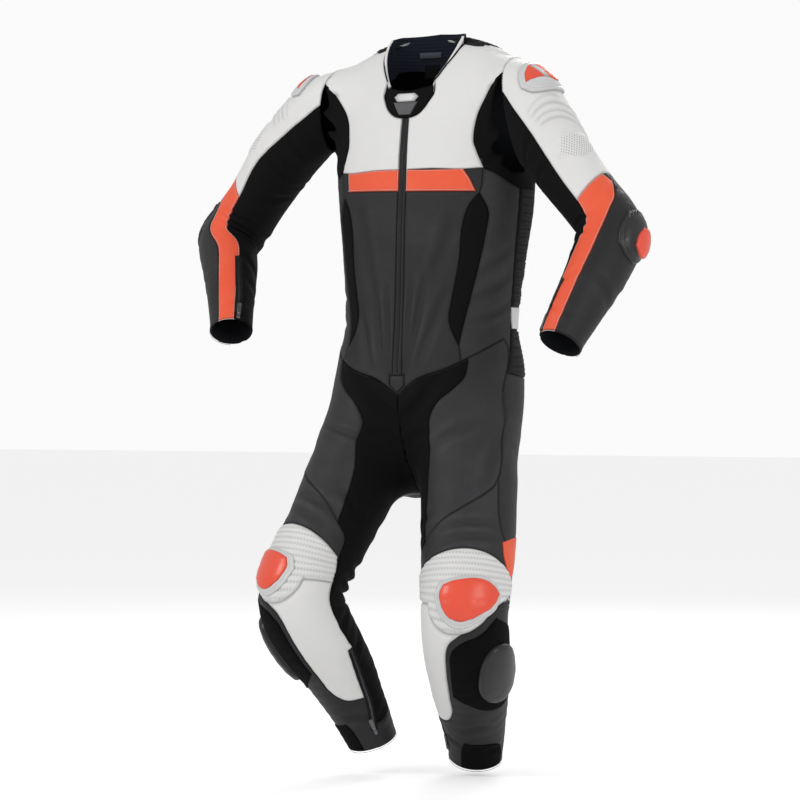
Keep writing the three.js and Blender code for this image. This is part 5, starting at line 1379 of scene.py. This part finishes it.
def blocks(name, centre, along, up, size, material, taper=0.72):
    """Many small blocks in one mesh: stitches, zip teeth and clips."""
    along = unit(along)
    across = unit(np.cross(up, along))
    up = np.cross(along, across)
    length, width, height = size
    corner = np.array([(-1, -1, 0), (1, -1, 0), (1, 1, 0), (-1, 1, 0),
                       (-taper, -taper, 1), (taper, -taper, 1), (taper, taper, 1), (-taper, taper, 1)], float)
    corner = corner * [length / 2, width / 2, height]
    points = (centre[:, None] + along[:, None] * corner[None, :, [0]] + across[:, None] * corner[None, :, [1]]
              + up[:, None] * corner[None, :, [2]])
    square = np.array([(4, 5, 6, 7), (0, 1, 5, 4), (1, 2, 6, 5), (2, 3, 7, 6), (3, 0, 4, 7)])
    faces = (square[None] + 8 * np.arange(len(centre))[:, None, None]).reshape(-1, 4)
    return new_object(name, points.reshape(-1, 3), faces, [material], False)


def strap(name, rows, materials, half, thick, closed=False):
    """A band along rows of (points, across, up): a flat bar with a soft upper face."""
    points, across, up = rows
    profile = [(-1, 0), (-0.9, 0.75), (0, 1), (0.9, 0.75), (1, 0)]
    rings = np.concatenate([points[:, None] + across[:, None] * a * half + up[:, None] * b * thick
                            for a, b in profile], 1)
    n, m = len(points), len(profile)
    index = np.arange(n * m).reshape(n, m)
    if closed:
        index = np.vstack([index, index[:1]])
    a, b = index[:-1], index[1:]
    faces = np.concatenate([np.stack([a[:, k], a[:, k + 1], b[:, k + 1], b[:, k]], 1) for k in range(m - 1)])
    corners = rings.reshape(-1, 3)
    p, q, r = corners[faces[:, 0]], corners[faces[:, 1]], corners[faces[:, 2]]
    if (np.cross(q - p, r - p) * np.repeat(up, m, 0)[faces[:, 0]]).sum() < 0:
        faces = faces[:, ::-1]
    return new_object(name, corners, faces, materials)


def path_rows(at, path, up, step=3.0, scale=1.2):
    line = smooth_outline(path, scale, step, closed=False)
    u, v = line[:, 0] / scale, line[:, 1]
    points, normal = at(u, v)
    along = unit(np.gradient(points, axis=0))
    return points + normal * up, unit(np.cross(normal, along)), normal, along


def patch_table(height):
    return [(0.985, height * 0.8), (0.95, height), *[(share / 20, height) for share in range(18, 0, -1)]]


print("patch heights", patch_table(1.5)[:3])

# %% [markdown]
# ## Armour and sliders
# Each shoulder has a moulded plate with an orange insert, each elbow a black guard with a red slider and air
# slots, and each knee a white shell with an orange insert. Under the knee a black slider puck sits on
# hook-and-loop cloth. The photograph shows lettering and stars on them; here they stay bare.

# %% Shoulder, elbow and knee pieces
SHELL = [(0.985, 3.6), (0.95, 4.6), (0.90, 5.2), (0.86, 5.4), (0.83, 4.6), (0.80, 5.4), (0.74, 6.2), (0.6, 6.9), (0.4, 7.4),
         (0.2, 7.7)]
for side in ("left", "right"):
    sleeve, leg, turn = "sleeve_" + side, "leg_" + side, LEG_TURN[side]
    upper = on_chart(sleeve, 0.6)
    plate = [(41, 52), (34, 43), (18, 39), (-2, 44), (-18, 55), (-26, 68), (-20, 80), (0, 84), (22, 80), (36, 68)]
    made = mound("shoulder_plate_%s_shell" % side, upper, plate, SHELL, [white_shell, white_shell])
    declare(made, replaces=["shoulder_plate_" + side])
    insert = [(33, 56), (25, 49), (10, 48), (-5, 54), (-17, 66), (-10, 73), (6, 71), (22, 64)]
    made = mound("shoulder_insert_" + side, upper, insert, [(0.97, 7.4), (0.9, 7.9), (0.62, 8.2), (0.3, 8.4)],
                 [orange_shell], foot=5.0)
    declare(made)
    made = mound("shoulder_insert_rib_" + side, upper, [(15, 50), (10, 49), (4, 71), (10, 70)],
                 [(0.9, 8.7), (0.5, 8.9)], [white_shell], foot=7.6)
    declare(made)

    low = on_chart(sleeve)
    guard = [(22, 322), (14, 296), (-14, 283), (-44, 288), (-60, 306), (-62, 334), (-46, 356), (-16, 361), (12, 350)]
    made = mound("elbow_guard_%s_shell" % side, low, guard,
                 [(0.98, 3.2), (0.94, 4.6), (0.88, 5.2), (0.84, 4.4), (0.80, 5.4), (0.7, 7.4), (0.5, 8.6), (0.25, 9)],
                 [black_plastic], foot=0.6)
    declare(made, replaces=["elbow_guard_" + side])
    slider = [(-11, 326), (-18, 310), (-36, 305), (-54, 312), (-58, 328), (-50, 342), (-32, 347), (-15, 341)]
    made = mound("elbow_slider_" + side, low, slider, [(0.97, 10.2), (0.9, 12.4), (0.7, 13.8), (0.3, 14.6)],
                 [orange_shell], foot=6.5)
    declare(made)
    slots = np.array([(6.0, 296), (0, 293.5), (-6, 291.5), (12, 300)])
    spots, normal = low(slots[:, 0], slots[:, 1])
    ahead, _ = low(slots[:, 0] - 2, slots[:, 1] + 12)
    made = blocks("elbow_vents_" + side, spots + normal * 4.6, ahead - spots, normal, (14, 3.2, 1.8), grey_plastic)
    declare(made)

    knee_at = on_chart(leg, 0.4)
    guard = [(u + turn, v) for u, v in [(99, 558), (93, 542), (74, 536), (36, 533), (17, 543), (9, 553), (16, 570),
                                        (39, 583), (70, 591), (90, 579)]]
    made = mound("knee_guard_%s_shell" % side, knee_at, guard,
                 [(0.985, 5.2), (0.96, 6.4), (0.92, 6.8), (0.895, 5.6), (0.87, 6.6), (0.84, 8.2), (0.81, 8.8), (0.78, 8.2),
                  (0.5, 8.4)], [white_shell], foot=2.0)
    declare(made, replaces=["knee_guard_" + side])
    insert = [(u + turn, v) for u, v in [(90, 557), (86, 546), (72, 541), (38, 538), (22, 546), (16, 553), (22, 566),
                                         (42, 577), (68, 584), (84, 574)]]
    made = mound("knee_insert_" + side, knee_at, insert,
                 [(0.98, 9.6), (0.94, 10.4), (0.7, 10.9), (0.3, 11.4)], [orange_shell], foot=7.8)
    declare(made)

    shin_at = on_chart(leg)
    pad = [(u + turn, v) for u, v in [(12, 580), (38, 597), (66, 606), (80, 618), (86, 652), (89, 706), (70, 724),
                                      (36, 752), (4, 758), (-24, 744), (-40, 700), (-42, 650), (-26, 600)]]
    made = mound("calf_loop_panel_" + side, shin_at, pad, patch_table(1.9),
                 [hook_cloth], foot=-1.5, seam=0.6, middle=(20 + turn, 668))
    declare(made, sheet=True)
    puck = [(u + turn, v) for u, v in [(49, 660), (38, 628), (18, 616), (-6, 624), (-19, 650), (-22, 690), (-10, 726),
                                       (14, 736), (36, 724), (49, 694)]]
    made = mound("knee_slider_%s_puck" % side, shin_at, puck,
                 [(0.99, 6.5), (0.95, 9.5), (0.88, 11.4), (0.7, 13.6), (0.4, 14.8), (0.2, 15)], [black_plastic], foot=1.2)
    declare(made, replaces=["knee_slider_" + side])
    ankle = [(u + turn, v) for u, v in [(82, 838), (12, 852), (0, 866), (-4, 903), (94, 903), (88, 850)]]
    made = mound("ankle_patch_" + side, shin_at, ankle, patch_table(1.7), [hook_cloth], foot=-1.5)
    declare(made, sheet=True)
    orange_patch = [(-30, 430), (-8, 446), (13, 464), (8, 492), (-8, 520), (-20, 512), (-30, 478)]
    made = mound("outer_leg_patch_" + side, shin_at, orange_patch, patch_table(1.6),
                 [orange_leather], foot=-1.5)
    declare(made, sheet=True)
    hip = [(87, -430), (105, -430), (106, -469), (90, -469)]
    hip = hip if side == "left" else mirrored(hip)
    made = mound("hip_patch_" + side, on_chart("trunk"), hip, patch_table(1.6), [white_leather],
                 foot=-1.5, scale=2.6)
    declare(made, sheet=True)

# %% [markdown]
# ## The collar
# The collar stands up: white leather in front, black stretch cloth behind, a quilted lining inside and a
# bound rim. The zip ends under a padded throat tab with a bare badge and a moulded, ribbed pull. A hanger
# loop and a plain label are sewn to the lining.

# %% Build the collar, its lining and its rim
COLLAR_TOP = np.array([(44, -28), (51, -16), (65, 12), (74, 30), (86, 52), (96, 66), (112, 72), (180, 77)], float)


def collar_top(u):
    return np.interp(np.where(u > 180, 360 - u, u), COLLAR_TOP[:, 0], COLLAR_TOP[:, 1])


def collar_foot(u):
    inner = np.interp(u, COLLAR_SEAM[:, 0], COLLAR_SEAM[:, 1])
    edge = np.minimum(np.abs(u - 44), np.abs(316 - u))
    return np.where(edge < 4, -44 + (inner + 44) * edge / 4, inner)


def tube_out(u):
    direction = np.stack([np.sin(np.radians(u)) / COLLAR_HALF, -np.cos(np.radians(u)) / COLLAR_DEPTH, 0 * u], 1)
    return unit(direction)


def collar_at(inset):
    def at(u, v):
        return collar_point(u, v, inset), tube_out(u)
    return at


def collar_sheet(name, first, last, rows, inset, height, materials, foot_of, step=1.5):
    """A strip of the collar: columns along u, rows from its lower edge to the rim."""
    us = np.linspace(first, last, int((last - first) / step) + 1)
    share = np.linspace(0, 1, rows)
    u, t = (g.ravel() for g in np.meshgrid(us, share))
    v = foot_of(u) * (1 - t) + collar_top(u) * t
    side = np.minimum(np.abs(u - first), np.abs(last - u)) * 1.2
    edge = np.minimum(side, np.minimum(v - foot_of(u), collar_top(u) - v))
    points, normal = collar_at(inset)(u, v)
    up, marks = height(u, v, edge)
    points = points + normal * up[:, None]
    index = np.arange(len(us) * rows).reshape(rows, len(us))
    a, b, c, d = index[:-1, :-1].ravel(), index[:-1, 1:].ravel(), index[1:, 1:].ravel(), index[1:, :-1].ravel()
    faces = facing(points, np.concatenate([np.stack([a, b, c], 1), np.stack([a, c, d], 1)]), normal)
    place = np.stack([u * 1.2, v], 1)
    return new_object(name, points, faces, materials, attributes=[("seam", marks), ("ridge", 0 * u + 0.35)],
                      uv=place[faces.ravel()])


def collar_height(u, v, edge):
    # The second value is the seam mark, which puts painted shade along the strip's edges.
    return swell(edge, 1.2) + wander(u, v, 1.2, 0.5, 2.0), np.exp(-(edge / 1.5) ** 2)


def quilted(u, v, edge):
    quilt = np.abs(np.sin(np.pi * v / 6.5)) ** 0.6
    # The second value is the seam mark, which puts painted shade in the recessed quilting lines.
    return -1.4 * quilt, 0.5 * (1 - quilt)


def inner_height(u, v, edge):
    return 0 * u, 0 * u


for name, first, last, slot, skin in (("collar_back", 96, 264, "stretch_cloth", stretch_cloth),
                                      ("collar_front_left", 44.5, 96, "white_leather", white_leather),
                                      ("collar_front_right", 264, 315.5, "white_leather", white_leather)):
    made = collar_sheet(name + "_skin", first, last, 16, 0.0, collar_height, [skin], collar_foot)
    declare(made, replaces=[name], sheet=True)
made = collar_sheet("collar_lining_skin", 46, 314, 56, 4.6, quilted, [lining_cloth],
                    lambda u: np.maximum(collar_foot(u) - 56, -40.0))
declare(made, replaces=["collar_lining"], sheet=True)


def rim_path(first, last, step, drop, inset):
    us = np.arange(first, last, step)
    points = collar_point(us, collar_top(us) - drop, inset)
    return us, points


def piping(name, us, points, radius, material, count=8):
    along = unit(np.gradient(points, axis=0))
    out = tube_out(us)
    across = unit(np.cross(along, out))
    out = np.cross(across, along)
    around = np.linspace(0, 2 * math.pi, count, endpoint=False)
    rings = (points[:, None] + out[:, None] * (np.cos(around)[None, :, None] * radius[0])
             + across[:, None] * (np.sin(around)[None, :, None] * radius[1]))
    index = np.arange(len(us) * count).reshape(len(us), count)
    a, b = index[:-1], index[1:]
    faces = np.concatenate([np.stack([a[:, k], a[:, (k + 1) % count], b[:, (k + 1) % count], b[:, k]], 1)
                            for k in range(count)])
    made = new_object(name, rings.reshape(-1, 3), faces, [material])
    declare(made)
    return made


us, points = rim_path(97, 264, 1.5, 1.6, 2.4)
piping("collar_rim_back", us, points, (2.6, 1.7), stretch_cloth)
for name, first, last in (("left", 46, 97), ("right", 263, 314.5)):
    us, points = rim_path(first, last, 1.5, 1.6, 2.4)
    piping("collar_rim_" + name, us, points, (2.7, 1.7), white_leather)
    us, points = rim_path(first, last, 1.5, 7.0, -0.2)
    piping("collar_cord_" + name, us, points, (0.9, 0.9), black_thread, 6)
seam_us = np.arange(48, 312.5, 1.5)
piping("collar_seam_cord", seam_us, collar_point(seam_us, collar_foot(seam_us) + 1.0, -0.4), (1.2, 1.2), stretch_cloth,
       6)

# %% Loop, label, throat tab, badge and the main pull
LINING_FACE = 5.6
loop_us = np.linspace(178, 222, 23)
stand = LINING_FACE + 0.9 + 2.0 * np.sin(np.pi * (loop_us - 178) / 44)
loop_rows = (collar_point(loop_us, 0 * loop_us + 38.5, stand), np.tile([0.0, 0, 1], (23, 1)), -tube_out(loop_us))
made = strap("hanger_loop_band", loop_rows, [loop_cloth], 5.5, 1.5)
declare(made, replaces=["hanger_loop"], sheet=True, box=(0.05, 0.014))
inner = lambda u, v: (collar_point(u, v, LINING_FACE), -tube_out(u))
made = mound("neck_label", inner, [(183, -5), (183, 21), (213, 21), (213, -5)], [(0.97, 0.9), (0.6, 1.0)], [stretch_cloth],
             corner=20)
declare(made, sheet=True)


def throat_at(u, v):
    def smooth(a, b):
        return sum(throat_point(a, b + d) - [0, 0, d] for d in (-10.0, -5.0, 0.0, 5.0, 10.0)) / 5
    points = smooth(u, v)
    by_u, by_v = smooth(u + 1.0, v) - smooth(u - 1.0, v), smooth(u, v + 2.0) - smooth(u, v - 2.0)
    normal = unit(np.cross(by_u, by_v))
    return points, normal * np.sign((normal * tube_out(u)).sum(1))[:, None]


TAB = TAB_EDGE + [(44, -28), (28, -32), (8, -36), (-10, -36), (-28, -32), (-44, -28)]
made = mound("collar_tab_pad", throat_at, TAB, [(0.985, 1.2), (0.95, 2.2), (0.91, 2.5), (0.88, 1.6), (0.85, 2.4), (0.6, 2.9),
                                                (0.3, 3.0)], [stretch_cloth], foot=-2.0, middle=(0, -58))
declare(made, replaces=["collar_tab"], sheet=True)
badge = [(-25, -48), (-18, -41), (16, -41), (23, -48), (16, -57), (-18, -57)]
made = mound("throat_badge", throat_at, badge, [(0.95, 4.0), (0.6, 4.2)], [white_shell], foot=2.2, corner=30)
declare(made)
MAIN_PULL = [(-24, -58), (22, -58), (10, -81), (-11, -81)]


def chevrons(u, v, way):
    across = v + 0.30 * np.abs(u)
    return np.where(way < 0.9, 0.9 * np.abs(np.sin(np.pi * across / 5.2)), 0)


made = mound("main_zip_pull_tab", throat_at, MAIN_PULL, [(0.97, 4.6), (0.93, 5.2), (0.9, 4.6), *[(s / 20, 4.6) for s in
                                                                                     range(17, 1, -1)]],
             [grey_plastic], foot=2.6, corner=30, shape=chevrons)
declare(made, body="main_zip_pull_body", replaces=["main_zip_pull"])

# %% [markdown]
# ## Zips, cords and stitches
# The main zip is a coil between two raised leather lips. Short zips close the sleeves at the wrist and the
# legs at the ankle; each has a small metal pull. Every leather edge is held by a row of top stitches.

# %% The main zip and the short zips
zip_v = np.arange(-548, -92, 3.0)
zip_u = np.where(np.arange(len(zip_v)) % 2 == 0, 0.32, -0.32)
spots, normal = on_chart("trunk", 0.9)(zip_u, zip_v)
made = blocks("main_zip_teeth", spots + normal * -0.4, np.tile([1.0, 0, 0], (len(zip_v), 1)), normal, (3.6, 1.7, 1.3),
              black_plastic)
declare(made)
SHORT_ZIPS = {"wrist": ("sleeve_", "wrist_pull_body", [(91, 436), (96, 480), (101, 520)], 104, lambda s: CUFFS[s] - 12),
              "ankle": ("leg_", "ankle_pull_body", [(163, 706), (154, 776), (149, 820)], 136, lambda s: HEM - 36)}
PULL = {"length": 24.0, "width": 8.0, "neck": 5.0, "thick": 2.0, "stand": 0.7}
for kind, (chart_start, body_name, path, pull_u, pull_v) in SHORT_ZIPS.items():
    for side in ("left", "right"):
        chart_name = chart_start + side
        turn = LEG_TURN[side] if kind == "ankle" else 0
        at = on_chart(chart_name)
        hinge_u, hinge_v = pull_u + turn, pull_v(side)
        line = [(u + turn, v) for u, v in path] + [(hinge_u, hinge_v)]
        points, across, normal, along = path_rows(at, line, 0.2)
        made = strap(f"{kind}_zip_tape_{side}", (points, across, normal), [zip_tape], 7.0, 0.9)
        declare(made, sheet=True, box=(0.12, 0.015))
        teeth_points, teeth_across, normal, along = path_rows(at, line, 0.9, step=2.2)
        made = blocks(f"{kind}_zip_teeth_{side}", teeth_points, teeth_across, normal, (4.2, 1.3, 1.0), dark_metal)
        declare(made)
        base, out = charts[chart_name].at(np.array([hinge_u, hinge_u]), np.array([hinge_v, hinge_v - PULL["length"]]))
        mid_out = charts[chart_name].at(np.array([hinge_u]), np.array([hinge_v - PULL["length"] / 2]))[1][0]
        along = unit((base[1] - base[0])[None])[0]
        across = unit(np.cross(along, mid_out)[None])[0]
        away = np.cross(across, along)
        w, n, length = PULL["width"] / 2, PULL["neck"] / 2, PULL["length"]
        shape = [(-n, 0), (n, 0), (w, length * 0.4), (w, length - 2), (w - 2, length), (2 - w, length), (-w, length - 2),
                 (-w, length * 0.4)]
        rim = np.array([base[0] + across * a + along * b for a, b in shape])
        middle = rim.mean(0)
        layers = [(1.0, 0.0), (1.0, 1.4), (0.9, 2.0), (0.62, 2.0), (0.55, 1.5), (0.3, 1.5)]
        rings = [middle + (rim - middle) * s + away * (PULL["stand"] + h) for s, h in layers]
        corners = np.vstack([*rings, (middle + away * (PULL["stand"] + 1.5))[None]])
        made = new_object(f"{kind}_pull_{side}_tab", corners,
                          facing(corners, fan(8, len(layers)), np.tile(away, (len(corners), 1))), [dark_metal], False)
        declare(made, body=body_name.replace("_body", f"_{side}_body"), replaces=[f"{kind}_pull_{side}"])
        made = blocks(f"{kind}_zip_slider_{side}", base[:1] - along * 4 + away * 0.4, along[None], away[None],
                      (11, 7.5, 2.6), dark_metal)
        declare(made)

# %% Top stitches beside the seams
THREAD_OF = {"white_leather": white_thread, "orange_leather": white_thread, "black_leather": black_thread,
             "grey_leather": black_thread}


def stitches(chart_name):
    layout = layouts[chart_name]
    chart, specs, seams = layout["chart"], layout["specs"], layout["seams"]
    p, q = seams["p"], seams["q"]
    middle, run = (p + q) / 2, q - p
    length = np.linalg.norm(run, axis=1)
    turn = unit(run)[:, [1, 0]] * [1, -1]
    found = {}
    for sign in (-1, 1):
        place = middle + turn * 2.5 * sign
        reach, _ = nearest(np.vstack([p, q, middle]), place)
        owner = np.full(len(place), -1)
        for number, spec in enumerate(specs):
            outline = smooth_outline(spec["outline"], chart.scale, 6.0)
            for shift in (-1, 0, 1):
                owner[inside(place, outline + [shift * 360 * chart.scale, 0])] = number
        for slot, thread in THREAD_OF.items():
            fits = np.array([number >= 0 and specs[number]["slot"] == slot for number in owner])
            fits &= ((owner == seams["a"]) | (owner == seams["b"])) & (reach > 2.0) & (length > 1.5)
            if fits.any():
                found.setdefault(thread.name, []).append((place[fits], run[fits], length[fits]))
    total = 0
    for thread_name, rows in found.items():
        place, run, length = (np.concatenate(column) for column in zip(*rows))
        u, v = place[:, 0] / chart.scale, place[:, 1]
        points, normal = chart.at(u, v)
        ends, _ = chart.at((place[:, 0] + run[:, 0] * 0.3) / chart.scale, v + run[:, 1] * 0.3)
        rise = fold_at(chart_name, u, v) * 0.8 + 0.1
        made = blocks(f"{thread_name}_{chart_name}", points + normal * rise[:, None], ends - points, normal,
                      (2.4, 0.8, 0.55), bpy.data.materials[thread_name], 0.5)
        declare(made)
        total += len(u)
    return total


print("stitches", {name: stitches(name) for name in layouts})
